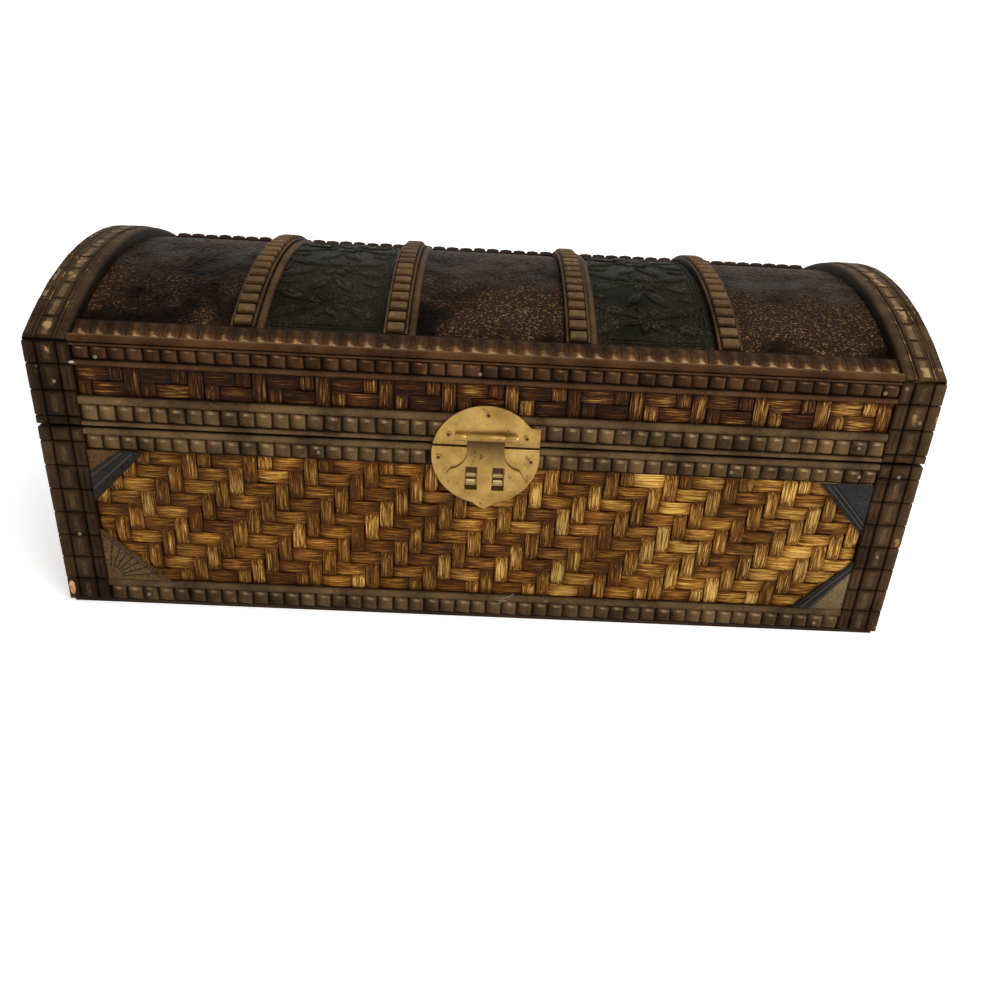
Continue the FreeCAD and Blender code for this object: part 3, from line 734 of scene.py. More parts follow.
# %% One notched block
def make_tooth(height, base_width, top_width, depth, slope, scoop=0, ridge=0):
    # A scoop slopes the top down to one side, and a ridge slopes it down to both
    piece = block("tooth", (base_width, height, depth), (0, 0, depth / 2))
    pick(piece, lambda centre, normal: normal.z > 0.9, "FACE")
    bpy.ops.transform.resize(value=(top_width / base_width, (height - 2 * slope) / height, 1))
    done()
    bevel_top(piece, 0.5 * depth, 0.3 * mm, 1)
    inset(piece, lambda centre, normal: normal.z > 0.95, (0.7 * mm, 0.1 * mm))
    slice_at(piece, (1, 0, 0), [0])
    if ridge:
        nudge(piece, lambda co: co.z > 0.7 * depth and abs(co.x) > 0.05 * top_width, (0, 0, -ridge))
    else:
        nudge(piece, lambda co: co.z > 0.7 * depth and co.x < -0.05 * base_width, (0, 0, -scoop))
        nudge(piece, lambda co: co.z > 0.7 * depth and abs(co.x) < 0.05 * base_width, (0, 0, -scoop / 3))

    # Ridged ledge teeth are painted with a highlight along their lower front edge and with shade over their
    # upper part
    def ridge_crest(co):
        if co.y > -0.25 * height:
            return 0.24 * co.z / depth
        out = abs(co.x) / base_width
        return 1.15 - 0.5 * out if co.z < 0.2 * depth else 0.8 - 1.4 * out

    # Scooped teeth are painted dark on the left as shade in the notch and lighter to the right, with a
    # painted highlight at the top of the middle
    def scoop_crest(co):
        if co.z < 0.2 * depth:
            return 0.0
        rubbed = co.y > 0.25 * height and abs(co.x) < 0.05 * base_width
        return 0.95 if rubbed else 0.36 + 0.52 * co.x / base_width

    note(piece, "crest", ridge_crest if ridge else scoop_crest)
    return piece


def wood_tone(middle=0.5):
    return min(1.0, max(0.0, middle + chance.gauss(0, 0.17)))


def tooth_row(pattern, length, middle, floor, tone):
    places = []
    for x in even(length / 2, round(length / PITCH)):
        lean, tip = swing(chance.gauss(0, 1.6)), swing(chance.gauss(0, 1.4), "X")
        grow = uneven((0.95, 1.03), (0.95, 1.02), (0.92, 1.02))
        move = Matrix.Translation((x + chance.gauss(0, 0.1) * mm, middle, floor))
        places.append((move @ lean @ tip @ grow, wood_tone(tone)))
    return lay(pattern, places)


# %% Rail sections
# Where each rail starts, how pale it is, and its courses from the foot up
RAILS = {
    "base_foot_rail": (FOOT, 0.5, (("teeth", 7.3 * mm), ("bead", 3.4 * mm))),
    "base_crown_rail": (WEAVE_HIGH, 0.62, (("teeth", 6.6 * mm), ("bead", 2.9 * mm))),
    "lid_foot_rail": (83.8 * mm, 0.6, (("lip", 1.8 * mm), ("teeth", 7.1 * mm), ("bead", 3.5 * mm))),
    "lid_crown_rail": (CROWN_TOP - 9.3 * mm, 0.4,
                       (("bead", 2.3 * mm), ("teeth", 5.8 * mm), ("lip", 1.2 * mm))),
}


def half_round(low, high, foot, crest, points=7):
    # Outline of a bead: up one side, over the round and down the other
    middle, half = (low + high) / 2, (high - low) / 2
    outline = [(low, foot)]
    for index in range(points):
        angle = math.pi * (1 - index / (points - 1))
        lift = math.sin(angle) ** 0.7
        outline.append((middle + half * 0.96 * math.cos(angle), foot + (crest - foot) * (0.35 + 0.65 * lift)))
    return outline + [(high, foot)]


def rail(side, height, tone, courses):
    length = run_of(side)
    width = sum(size for kind, size in courses)
    # Spine and beads are a little darker than the teeth. The spine's crest is nought, so it is painted dark
    # as the shade behind the teeth, and each bead is painted darker towards its foot
    spine = strip_along("spine", [(0, 0), (0, VALLEY), (width, VALLEY), (width, 0)], length, 2)
    pieces = [mark(spine, 0.0, tone - 0.12)]
    level = 0
    for kind, size in courses:
        if kind == "teeth":
            pattern = make_tooth(size - 0.1 * mm, PITCH - 0.15 * mm, PITCH - 1.3 * mm, TOOTH - VALLEY,
                                 1.2 * mm, scoop=0.75 * mm)
            pieces.append(tooth_row(pattern, length, level + size / 2, VALLEY - 0.1 * mm, tone))
            drop(pattern)
        else:
            round_top = half_round(level, level + size, VALLEY - 0.2 * mm, STAND - 0.06 * mm)
            bead = strip_along(kind, round_top, length, round(length / (6 * mm)))
            mark(bead, lambda co: 0.62 * (co.z - VALLEY) / (STAND - VALLEY), tone - 0.12)
            pieces.append(bead)
        level += size
    whole = joined("rail", pieces)
    roughen(whole, 0.22 * mm, 0.006)
    return turned(whole, stand_on(side, height))


# %% [markdown]
# ### Nails and frayed fibre
# Small nails hold the mouldings on. Their heads are low domes sunk into the wood, at the places seen in the
# photograph, and their metal has kept a dull shine. Near the foot of the front a few frayed ends of strip
# have caught on the moulding: thin three-sided threads with one bend each.

# %% Nails and loose fibre
# The places are (x, z) on the front in millimetres
NAILS = {
    "lid_crown_rail_carved_front": ((-148.1, 112.7), (-3.6, 113.2), (151.8, 113.4)),
    "lid_foot_rail_carved_front": ((-152.7, 91.6), (147.1, 89.7)),
    "base_crown_rail_carved_front": ((98.5, 76.6), (-66.0, 77.0), (150.0, 77.2)),
    "base_foot_rail_carved_front": ((-141.0, 5.6), (146.8, 5.2)),
    "lid_post_carved_front_left": ((-165.1, 102.1),),
    "lid_post_carved_front_right": ((168.1, 101.8), (159.5, 115.6)),
    "base_post_carved_front_left": ((-166.0, 34.5),),
    "base_post_carved_front_right": ((166.0, 77.8), (166.4, 40.0)),
}
nail_metal = plain_finish("dull nail metal", (0.17, 0.13, 0.085), 0.55, 0.1)
loose_fibre = plain_finish("loose fibre", (0.3, 0.235, 0.155), 0.8, 0.1)


def nailed(piece, name, wood):
    piece.data.materials.append(wood)
    pieces = [piece]
    for x, z in NAILS.get(name, ()):
        head = ball("nail", (1, 1, 1), (x * mm, -HALF_DEPTH + 0.1 * mm, z * mm), 12, 6, 0.8 * mm)
        head.data.materials.append(nail_metal)
        pieces.append(head)
    return joined("nailed", pieces)


def wisps(x, z):
    # Around one point on the front
    threads = []
    for _ in range(7):
        section = [(-0.08 * mm, 0), (0.08 * mm, 0), (0, 0.14 * mm)]
        thread = strip_along("wisp", section, chance.uniform(3, 8) * mm, 4)
        nudge(thread, lambda co: co.x > 1 * mm, (0, chance.uniform(-1.2, 1.2) * mm, 0))
        lean = swing(chance.uniform(-15, 125))
        spot = Matrix.Translation((x + chance.uniform(-2, 2) * mm, z + chance.uniform(-1.5, 1.5) * mm,
                                   HALF_DEPTH - BOARD_Y - 0.1 * mm))
        turned(thread, stand_on("front", 0) @ spot @ lean)
        thread.data.materials.append(loose_fibre)
        threads.append(thread)
    return threads


# %% Every rail
for stem, (height, tone, courses) in RAILS.items():
    body = stem.split("_")[0]
    wood = shaded_wood if stem == "lid_crown_rail" else rail_wood
    for place, piece in round_the_box(lambda side: rail(side, height, tone, courses)):
        name = stem + "_carved_" + place
        piece = nailed(piece, name, wood)
        if name == "base_foot_rail_carved_front":
            piece = joined("frayed", [piece] + wisps(11.0 * mm, 11.0 * mm))
        hand_over(piece, name, body, [stem + "_" + place], [])

# %% [markdown]
# ## Corner posts
# A post carries three bands on each face: one that wraps the corner, a broad one and a narrow one. Rows of
# cross grooves cut them into cushions, and the rows run on over the seam, because the box was carved before
# its lid was sawn off. So each row is laid at its own height and the row at the seam is cut in two. One
# post is a mirror image of the next, and a knock or a fleck of pale wood is a low rounded spot sunk into
# it.

# %% Cushions and posts
POST = 17.5 * mm
# The two edges of each band, in from the corner, and the heights of the cross grooves
BANDS = ((0.15 * mm, 4.35 * mm), (4.85 * mm, 12.15 * mm), (12.65 * mm, 17.4 * mm))
ROWS = [FOOT + (SHOULDER - FOOT) * index / 11 for index in range(12)]


def cushion(width, height, depth, round_off):
    # A block with softened top edges and a slightly dished crown
    piece = block("cushion", (width, height, depth), (0, 0, depth / 2))
    narrow = min(width, height)
    bevel_top(piece, 0.5 * depth, round_off, 2)
    inset(piece, lambda centre, normal: normal.z > 0.98, (narrow * 0.16, 0.1 * mm))
    inset(piece, lambda centre, normal: normal.z > 0.98 and abs(centre.x) < width * 0.1,
          (narrow * 0.14, -0.14 * mm))
    # Painted shade on the rims and a painted highlight in the middle give each cushion its rounded look
    note(piece, "crest", lambda co: 0.0 if co.z < 0.3 * depth else
         0.2 if abs(co.x) > 0.31 * width or abs(co.y) > 0.38 * height else
         0.55 if abs(co.x) > 0.14 * width else 0.82)
    return piece


def heel(low, high):
    # Two boards that meet at the corner fill the valleys behind the cushions
    wide, thick = POST - 1.3 * mm, 2.2 * mm
    tall, middle = high - low, (low + high) / 2
    boards = (block("heel", (wide, thick, tall), (BOARD_X + thick - wide / 2, -BOARD_Y - thick / 2, middle)),
              block("heel", (thick, wide, tall), (BOARD_X + thick / 2, -BOARD_Y - thick + wide / 2, middle)))
    # Crest nought and a low tone paint the boards dark, as the shade in the valleys
    return [mark(board, 0.0, 0.2) for board in boards]


def post(low, high, tone):
    # Made at the front right corner; both its faces look outwards from the heel
    pieces = heel(low, high)
    for bottom, top in zip(ROWS, ROWS[1:]):
        bottom, top = max(bottom, low), min(top, high)
        if top - bottom < 1.5 * mm:
            continue
        tall, middle = top - bottom - 0.35 * mm, (top + bottom) / 2
        for start, stop in BANDS[1:]:
            shape, inner = cushion(stop - start, tall, 2.1 * mm, 0.7 * mm), (start + stop) / 2
            for face, along in (("front", HALF_LENGTH - inner), ("right", -HALF_DEPTH + inner)):
                place = stand_on(face, middle) @ Matrix.Translation((along, 0, 1.35 * mm))
                place = place @ swing(chance.gauss(0, 0.9))
                pieces.append(lay(shape, [(place, wood_tone(tone))]))
            drop(shape)
        width = BANDS[0][1]
        knob = block("corner", (width, width, tall),
                     (HALF_LENGTH - width / 2, -HALF_DEPTH + width / 2, middle))
        ease(knob, 0.45 * mm, 2, 60)

        # Lighter out towards the corner, and painted dark at its top and bottom as shade in the cross grooves
        def crest(co):
            out = abs(co.x) - BOARD_X + abs(co.y) - BOARD_Y
            return 0.35 + 0.45 * min(1, out / (5 * mm)) - 0.4 * (abs(co.z - middle) > tall * 0.46)

        pieces.append(mark(knob, crest, wood_tone(tone)))
    whole = joined("post", pieces)
    roughen(whole, 0.25 * mm, 0.005)
    return whole


def mirrored(piece, across, through):
    # A swap of sides turns the faces inside out, so they are put the right way round again
    turned(piece, Matrix.Diagonal((-1 if across else 1, -1 if through else 1, 1, 1)))
    if across != through:
        open_up(piece)
        bpy.ops.mesh.flip_normals()
        done()
    return piece


# %% Bare wood and pale flecks
bare_wood, tree, shader, place = new_finish("bare wood", 0.2)
stain = use(tree, drift, Vector=place, Dark=(0.3, 0.12, 0.035, 1), Light=(0.62, 0.33, 0.13, 1),
            Patch_Scale=260.0, Grain_Scale=1200.0, Grain=0.4)
feed(tree, stain.outputs["Colour"], shader.inputs["Base Color"])
shader.inputs["Roughness"].default_value = 0.6
pale_fleck = plain_finish("pale fleck", (0.42, 0.37, 0.3), 0.5, 0.2)


def spot(centre, wide, tall, finish):
    chip = ball("chip", (wide, 1.6 * mm, tall), centre, 16, 8)
    chip.data.materials.append(finish)
    return chip


# The middle of each spot, how wide and how tall it is, and its finish
SPOTS = {
    "lid_post_carved_front_left":
        ((-157.4 * mm, -HALF_DEPTH + 0.2 * mm, 110.2 * mm), 2.3 * mm, 1.0 * mm, pale_fleck),
    "base_post_carved_front_left": ((-173.2 * mm, -75.6 * mm, 7.6 * mm), 3.2 * mm, 8.2 * mm, bare_wood),
}
print("spots on", list(SPOTS))

# %% Every post
# For each corner, whether it is mirrored across the front and through to the back
CORNERS = {"front_right": (False, False), "front_left": (True, False), "back_right": (False, True),
           "back_left": (True, True)}
for stem, body, low, high in (("base_post", "base", FOOT, SEAM - 0.5 * mm),
                              ("lid_post", "lid", SEAM + 0.5 * mm, CROWN_TOP)):
    for corner, (across, through) in CORNERS.items():
        name = stem + "_carved_" + corner
        # The left posts get a lower tone: painted shade, away from the key light at the right
        piece = nailed(mirrored(post(low, high, 0.3 if across else 0.6), across, through), name, post_wood)
        if name in SPOTS:
            piece = joined("spotted", [piece, spot(*SPOTS[name])])
        hand_over(piece, name, body, [stem + "_" + corner], [], 40)

# %% [markdown]
# ## Bent bands and ledges on the dome
# Thin mouldings were steamed and bent over the dome. A straight strip can't follow the curve, so the
# outline of each band is drawn once and spun about the dome's own axis, which keeps its section true all
# the way. The notched ribs are then laid round the same arc. The ledges at the foot of the dome are
# straight, so their outline is drawn out along the chest instead.

# %% Bands between the leather panels
BAND_CENTRES = [share * HALF_LENGTH for share in (-0.544, -0.2103, 0.1931, 0.5326)]
BAND_REACH = math.asin(64.8 * mm / DOME_RADIUS)
BAND_HALF = 4.8 * mm


def from_axis(co):
    return (Vector((0, co.y, co.z)) - Vector((0, 0, DOME_Z))).length


def lath(side, low):
    # A smooth half-round strip beside a band
    top, wide = SHELL_RADIUS + 3.0 * mm, 3.1 * mm
    outline = [(side, low), (side, top - 0.7 * mm), (side + 0.8 * mm, top - 0.1 * mm), (side + 1.7 * mm, top),
               (side + 2.6 * mm, top - 0.5 * mm), (side + wide, top - 1.4 * mm), (side + wide, low)]
    piece = strip_over("lath", outline, BAND_REACH, 36)
    return mark(piece, lambda co: 0.3 if abs(co.x - side - 1.7 * mm) > 1.2 * mm else 0.5, 0.12)


def ribbed_band(x):
    low, high = SHELL_RADIUS, DOME_RADIUS - 1.7 * mm
    left, right = x - BAND_HALF, x + BAND_HALF
    outline = [(left, low), (left, high - 0.3 * mm), (left + 0.35 * mm, high + 0.1 * mm),
               (left + 0.95 * mm, high + 0.1 * mm), (left + 1.2 * mm, high - 0.2 * mm),
               (right - 1.2 * mm, high - 0.2 * mm), (right - 0.95 * mm, high + 0.1 * mm),
               (right - 0.35 * mm, high + 0.1 * mm), (right, high - 0.3 * mm), (right, low)]
    strip = strip_over("band", outline, BAND_REACH, 36)
    # The band's sides and the feet of its ribs are painted dark as shade
    mark(strip, lambda co: 0.5 * (from_axis(co) - high + 0.18 * mm) / (0.28 * mm), 0.1)
    rib = make_tooth(2 * BAND_HALF - 2.3 * mm, PITCH - 1.3 * mm, PITCH - 3.4 * mm, 1.6 * mm, 0.5 * mm)
    note(rib, "crest", lambda co: 0.02 if co.z < 0.5 * mm else 0.6)
    places = []
    for angle in even(BAND_REACH, round(2 * BAND_REACH * DOME_RADIUS / PITCH)):
        place = on_dome(x, angle, DOME_RADIUS - 1.75 * mm) @ swing(90 + chance.gauss(0, 1.5))
        place = place @ uneven((0.94, 1.03), (0.96, 1.02), (0.9, 1.0))
        # The ribs are painted paler towards the front: a highlight where the light falls on them
        places.append((place, wood_tone(0.22 + 1.2 * max(0, -math.sin(angle) - 0.3))))
    pieces = [strip, lay(rib, places)]
    drop(rib)
    if x != BAND_CENTRES[-1]:
        pieces.append(lath(right - 0.1 * mm, low))
    return joined("band", pieces)


bands = joined("bands", [ribbed_band(x) for x in BAND_CENTRES])
roughen(bands, 0.2 * mm, 0.005)
hand_over(bands, "dome_bands_carved", "lid", ["dome_bands"], [rib_wood])

# %% Bands over the two ends
END_REACH = math.asin(75.8 * mm / DOME_RADIUS)
END_WIDE = 17.45 * mm
# In from the end and down from the top, in millimetres: a bead, and a broad flat between two grooved lines
END_PROFILE = ((0.1, 2.2), (0.5, 0.9), (1.5, 0.15), (3.0, 0), (4.1, 0.2), (4.45, 0.75), (4.65, 0.3),
               (4.95, 0.3), (5.15, 0.75), (5.5, 0.25), (7.5, 0.05), (9.8, 0.05), (11.7, 0.25), (12.05, 0.75),
               (12.25, 0.3), (12.55, 0.3), (12.75, 0.75), (13.1, 0.25), (14.8, 0.2), (16.4, 0.6), (17.3, 1.8))
# The two rows of cushions, as inner edge, outer edge, how deep they sit and how worn their middles are
END_ROWS = ((5.6 * mm, 11.6 * mm, 0.58 * mm, 1.0), (0.9 * mm, 3.9 * mm, 0.74 * mm, 0.7))


def end_band(sign):
    def across(inwards):
        return sign * (HALF_LENGTH - inwards)

    # Paler along the two raised lines, and painted darker as shade low down on the band's profile
    def crest(co):
        inwards = HALF_LENGTH - abs(co.x)
        line = min(abs(inwards - 4.8 * mm), abs(inwards - 12.4 * mm)) < 0.2 * mm
        return 0.9 if line else 0.1 + 0.6 * (from_axis(co) - DOME_RADIUS + 0.8 * mm) / (0.8 * mm)

    outline = [(across(0.1 * mm), SHELL_RADIUS - 0.2 * mm)]
    outline += [(across(inwards * mm), DOME_RADIUS - sink * mm) for inwards, sink in END_PROFILE]
    outline.append((across(END_WIDE), SHELL_RADIUS))
    # The left end is painted darker than the right, as shade away from the key light
    tone = 0.42 + 0.14 * sign
    pieces = [mark(strip_over("end band", outline, END_REACH, 40), crest, tone)]
    # Flat cushions run on from the posts, so shallow that only their worn middles show
    arc = 2 * END_REACH * DOME_RADIUS
    count = round(arc / (10.8 * mm))
    for inner, outer, sink, worn in END_ROWS:
        wide, tall = outer - inner, arc / count - 0.25 * mm
        shape = cushion(wide, tall, 0.75 * mm, 0.25 * mm)
        # The cushions' rims are painted dark as shade, and their middles lighter with wear and a painted
        # highlight
        note(shape, "crest", lambda co: 0.22 if abs(co.y) > 0.45 * tall or abs(co.x) > 0.36 * wide else
             worn if abs(co.x) < 0.2 * wide else 0.55)
        places = []
        for angle in even(END_REACH, count):
            place = on_dome(across((inner + outer) / 2), angle, DOME_RADIUS - sink)
            places.append((place @ swing(chance.gauss(0, 1.0)), wood_tone(tone)))
        pieces.append(lay(shape, places))
        drop(shape)
    whole = joined("end band", pieces)
    roughen(whole, 0.25 * mm, 0.012)
    return whole


for name, sign in (("left", -1), ("right", 1)):
    hand_over(end_band(sign), "end_band_carved_" + name, "lid", ["end_band_" + name],
              [bent_wood], 45)

# %% Ledges along the front and back of the dome
# The lip in (y, z) across the chest, in millimetres: out from under the dome, round its edge and back
LIP = ((-72.4, 118.5), (-76.1, 118.5), (-76.7, 118.9), (-76.75, 119.9), (-76.3, 120.7), (-75.7, 121.2),
       (-74.9, 121.3), (-74.35, 120.9), (-74.2, 119.9))


def arc_height(radius, y):
    return DOME_Z + math.sqrt(radius * radius - y * y)


def ledge_piece(sign):
    outline = [(-72.4 * mm, arc_height(SHELL_RADIUS, -72.4 * mm))] + [(y * mm, z * mm) for y, z in LIP]
    for y, sink in ((-73.3, 1.6), (-69.0, 1.5), (-65.6, 1.5), (-64.9, 1.5)):
        outline.append((y * mm, arc_height(DOME_RADIUS - sink * mm, y * mm)))
    outline.append((-64.9 * mm, arc_height(SHELL_RADIUS, -64.9 * mm)))
    strip = strip_along("ledge", outline, 2 * RAIL_X, 50)
    # The top of the lip carries a painted highlight, and the strip behind the lip is painted dark as shade
    # under the teeth
    mark(strip, lambda co: 0.36 + 0.3 * (co.z > 121.1 * mm) if co.y < -74.3 * mm else 0.1, 0.4)
    # The back row is taller and closer set, as its scallops show past the crown of the dome from the front
    tall, ridge, taper = (2.5 * mm, 0.35 * mm, 1.1 * mm) if sign > 0 else (1.5 * mm, 0.75 * mm, 1.6 * mm)
    tooth = make_tooth(8.2 * mm, PITCH - 0.2 * mm, PITCH - taper, tall, 1.7 * mm, ridge=ridge)
    angle = -math.asin(69.4 * mm / DOME_RADIUS)
    places = []
    for x in even(RAIL_X, round(2 * RAIL_X / PITCH)):
        place = on_dome(x, angle, DOME_RADIUS - 1.65 * mm) @ swing(chance.gauss(0, 2.0))
        places.append((place @ uneven((0.94, 1.03), (0.95, 1.02), (0.88, 1.0)), wood_tone()))
    whole = joined("ledge", [strip, lay(tooth, places)])
    drop(tooth)
    roughen(whole, 0.2 * mm, 0.006)
    return mirrored(whole, True, True) if sign > 0 else whole


for name, sign in (("front", -1), ("back", 1)):
    hand_over(ledge_piece(sign), "dome_ledge_carved_" + name, "lid", ["dome_rail_" + name],
              [ledge_wood])

# %% [markdown]
# ## Leather
# The first, third and fifth panels are hide with a coarse pebble, almost black, with brown showing where
# the grain catches light. The second and fourth are tooled with raised borders and foliage. Both kinds are
# thin sheets that follow the dome, so an outline is spun about the dome's axis again and its edges are left
# a little turned down.

# %% Leather finishes
def hide(name, dark, light, catch, sheen, scale, depth, rough, glow, shine=0.05):
    # The colours are the hide's two shades, the worn grain, which is also the painted highlight on raised
    # tooling, and the painted sheen along the crown of the dome. Scale and depth belong to the pebble, and
    # glow is how much rubbed grain shows on the dome's lower slopes.
    finish, tree, shader, place = new_finish(name, shine)
    body = use(tree, drift, Vector=place, Dark=scaled(dark, 1), Light=scaled(light, 1), Patch_Scale=28.0,
               Grain_Scale=600.0, Grain=0.35)
    skin = use(tree, pebble, Vector=place, Scale=scale)
    crease = skin.outputs["Crease"]
    colour = blend(tree, times(tree, crease, 0.7), body.outputs["Colour"], scaled(dark, 0.35))
    # On the lower slopes, flecks and patches of the rubbed colour
    height = add(tree, "ShaderNodeSeparateXYZ", Vector=place).outputs["Z"]
    flecks = step_between(tree, speckle(tree, place, 900.0, 3.0, 0.7), 0.56, 0.62)
    low = step_between(tree, height, 0.138, 0.128)
    where = step_between(tree, speckle(tree, place, 26.0, 3.0), 0.42, 0.56)
    flecks = times(tree, times(tree, flecks, where), times(tree, low, glow))
    rusty = times(tree, times(tree, where, low), 0.6 * glow)
    colour = blend(tree, rusty, colour, scaled(catch, 0.17))
    colour = blend(tree, flecks, colour, scaled(catch, 1))
    # Along the crown, a painted sheen: the grey reflection of the sky, laid in patches by the dust mask
    film = use(tree, dust, Vector=place, Scale=60.0, Cover=0.75).outputs["Mask"]
    high = step_between(tree, height, 0.1305, 0.138)
    colour = blend(tree, times(tree, film, high), colour, scaled(sheen, 1))
    # Raised tooling gets a painted highlight in the worn-grain colour
    worn = use(tree, wear, Vector=place, Crest=value_of(tree, "crest"), Start=0.55, Scale=500.0, Ragged=0.6)
    colour = blend(tree, times(tree, worn.outputs["Mask"], 0.5), colour, scaled(catch, 0.8))
    feed(tree, colour, shader.inputs["Base Color"])
    feed(tree, ramp(tree, crease, rough, 0.3), shader.inputs["Roughness"])
    bump(tree, shader, skin.outputs["Height"], depth, 0.8)
    return finish


pebbled_hide = hide("pebbled hide", (0.003, 0.002, 0.0014), (0.0105, 0.006, 0.0035), (0.19, 0.1, 0.05),
                    (0.075, 0.07, 0.062), 640.0, 0.7 * mm, 0.42, 0.8, 0.006)
tooled_hide = hide("tooled hide", (0.003, 0.0029, 0.0014), (0.0115, 0.0095, 0.0045), (0.095, 0.088, 0.058),
                   (0.026, 0.026, 0.022), 1500.0, 0.2 * mm, 0.36, 0.35, 0.01)
black_hide = hide("black hide", (0.01, 0.009, 0.007), (0.024, 0.021, 0.017), (0.12, 0.11, 0.1),
                  (0.06, 0.06, 0.06), 1300.0, 0.2 * mm, 0.4, 0.0)
tan_hide = hide("tan hide", (0.085, 0.058, 0.026), (0.19, 0.136, 0.066), (0.4, 0.28, 0.18),
                (0.3, 0.22, 0.15), 1200.0, 0.2 * mm, 0.6, 0.0)
worn_hide = hide("worn tan hide", (0.037, 0.019, 0.006), (0.09, 0.048, 0.016), (0.3, 0.2, 0.12),
                 (0.2, 0.15, 0.1), 1200.0, 0.2 * mm, 0.6, 0.0)
night_hide = hide("blue-black hide", (0.014, 0.014, 0.014), (0.032, 0.032, 0.032), (0.12, 0.12, 0.12),
                  (0.06, 0.06, 0.07), 1300.0, 0.2 * mm, 0.5, 0.0)
brown_hide = hide("tooled brown hide", (0.044, 0.023, 0.007), (0.12, 0.066, 0.024), (0.3, 0.2, 0.1),
                  (0.1, 0.08, 0.06), 1300.0, 0.25 * mm, 0.5, 0.0)

# %% Leather sheets over the dome
SHEET_TOP = SHELL_RADIUS + 1.5 * mm
SHEET_REACH = math.asin(64.6 * mm / SHELL_RADIUS)
# Where each panel starts and stops along the dome
STOPS = [-RAIL_X] + [x + side for x in BAND_CENTRES for side in (-BAND_HALF, BAND_HALF)] + [RAIL_X]


def panel_edges(number):
    return STOPS[2 * number - 2] + 0.1 * mm, STOPS[2 * number - 1] - 0.1 * mm


def sheet(x0, x1):
    # A closed thin sheet with its long edges turned down, divided across so that it can swell gently
    columns = 12
    crown = [(x0 + (x1 - x0) * index / columns, SHEET_TOP) for index in range(columns + 1)]
    crown[0] = (x0, SHEET_TOP - 0.3 * mm)
    crown[-1] = (x1, SHEET_TOP - 0.3 * mm)
    outline = [(x0, SHELL_RADIUS + 0.1 * mm)] + crown + [(x1, SHELL_RADIUS + 0.1 * mm)]
    piece = mark(strip_over("sheet", outline, SHEET_REACH, 30), 0.0)
    roughen(piece, 0.35 * mm, 0.03)
    return piece


for number in (1, 3, 5):
    hand_over(sheet(*panel_edges(number)), "pebbled_panel_%d" % number, "lid", ["dome_panel_%d" % number],
              [pebbled_hide], 60)

# %% [markdown]
# ### Tooled foliage
# The old panels carry pressed foliage. Here it is a plain pattern of its own: rosettes down the middle,
# leaves springing from them in pairs, a double border and one raised seam. A leaf is modelled once from a
# low dome, pinched at both ends and creased along its rib, and each copy is set on the curve.

# %% One leaf and one border
def leaf(length, width, height):
    piece = ball("leaf", (length, width, 2 * height))
    open_up(piece)
    bpy.ops.mesh.bisect(plane_co=(0, 0, -0.1 * mm), plane_no=(0, 0, 1), clear_inner=True, use_fill=True)
    done()
    for share, squeeze in ((0.30, 0.72), (0.42, 0.45)):
        pick(piece, lambda co: abs(co.x) > share * length)
        bpy.ops.transform.resize(value=(1, squeeze, 1), center_override=(0, 0, 0))
        done()
    # The rib is pressed in and the tip bends aside
    nudge(piece, lambda co: abs(co.y) < 0.06 * width and co.z > 0.5 * height and abs(co.x) < 0.45 * length,
          (0, 0, -0.4 * height))
    for share, bend in ((0.2, 0.10), (0.4, 0.14)):
        nudge(piece, lambda co: co.x > share * length, (0, bend * width, 0))
    return mark(piece, lambda co: 0.75 * co.z / height)


def border(x0, x1, reach, width):
    # A raised line round the panel: two arcs from a spun outline and two straight ribs
    outline = ridge_section(width, -0.25 * mm, 0.3 * mm)
    pieces = []
    for x in (x0, x1):
        round_dome = [(x + across, SHEET_TOP + rise) for across, rise in outline]
        pieces.append(strip_over("border", round_dome, reach / SHEET_TOP, 28))
    for y in (-reach, reach):
        rib = strip_along("border", outline, x1 - x0, 10)
        pieces.append(turned(rib, on_dome((x0 + x1) / 2, y / SHEET_TOP, SHEET_TOP)))
    return [mark(piece, 0.45) for piece in pieces]


# %% The tooled panels
def tooled_panel(number):
    x0, x1 = panel_edges(number)
    middle = (x0 + x1) / 2

    def spot_on(across, y, turn=0):
        return on_dome(middle + across * mm, y * mm / SHEET_TOP, SHEET_TOP) @ swing(turn)

    pieces = [sheet(x0, x1)]
    for edge in (2.6 * mm, 4.4 * mm):
        pieces += border(x0 + 2.4 * mm + edge, x1 - edge, 64.0 * mm - edge, 0.7 * mm)
    seam = strip_along("seam", [(-0.5 * mm, -0.25 * mm), (0, 0.35 * mm), (0.5 * mm, -0.25 * mm)],
                       x1 - x0 - 1 * mm, 10)
    pieces.append(turned(mark(seam, 0.6), spot_on(0, -19.0)))
    big, small = leaf(17 * mm, 6.2 * mm, 0.75 * mm), leaf(9 * mm, 4.2 * mm, 0.65 * mm)
    leaves, petals = [], []
    for y in (-46.0, -14.0, 18.0, 46.0):
        for turn in range(8):
            petals.append((spot_on(0, y, 45 * turn + 22.5) @ Matrix.Translation((5.4 * mm, 0, 0)), 0.6))
        for sign in (-1, 1):
            for rise, lean in ((6.0, 28), (-6.0, -28)):
                turn = lean if sign > 0 else 180 - lean
                leaves.append((spot_on(sign * 15.0, y + rise, turn), 0.5))
    for y in (-30.0, 2.0, 32.0):
        for sign in (-1, 1):
            leaves.append((spot_on(sign * 4.5, y, 90 + sign * 32), 0.5))
            petals.append((spot_on(sign * 17.5, y), 0.5))
    pieces += [lay(big, leaves), lay(small, petals)]
    drop(big, small)
    return joined("tooled", pieces)


for number in (2, 4):
    hand_over(tooled_panel(number), "tooled_panel_%d" % number, "lid", ["dome_panel_%d" % number],
              [tooled_hide], 50)

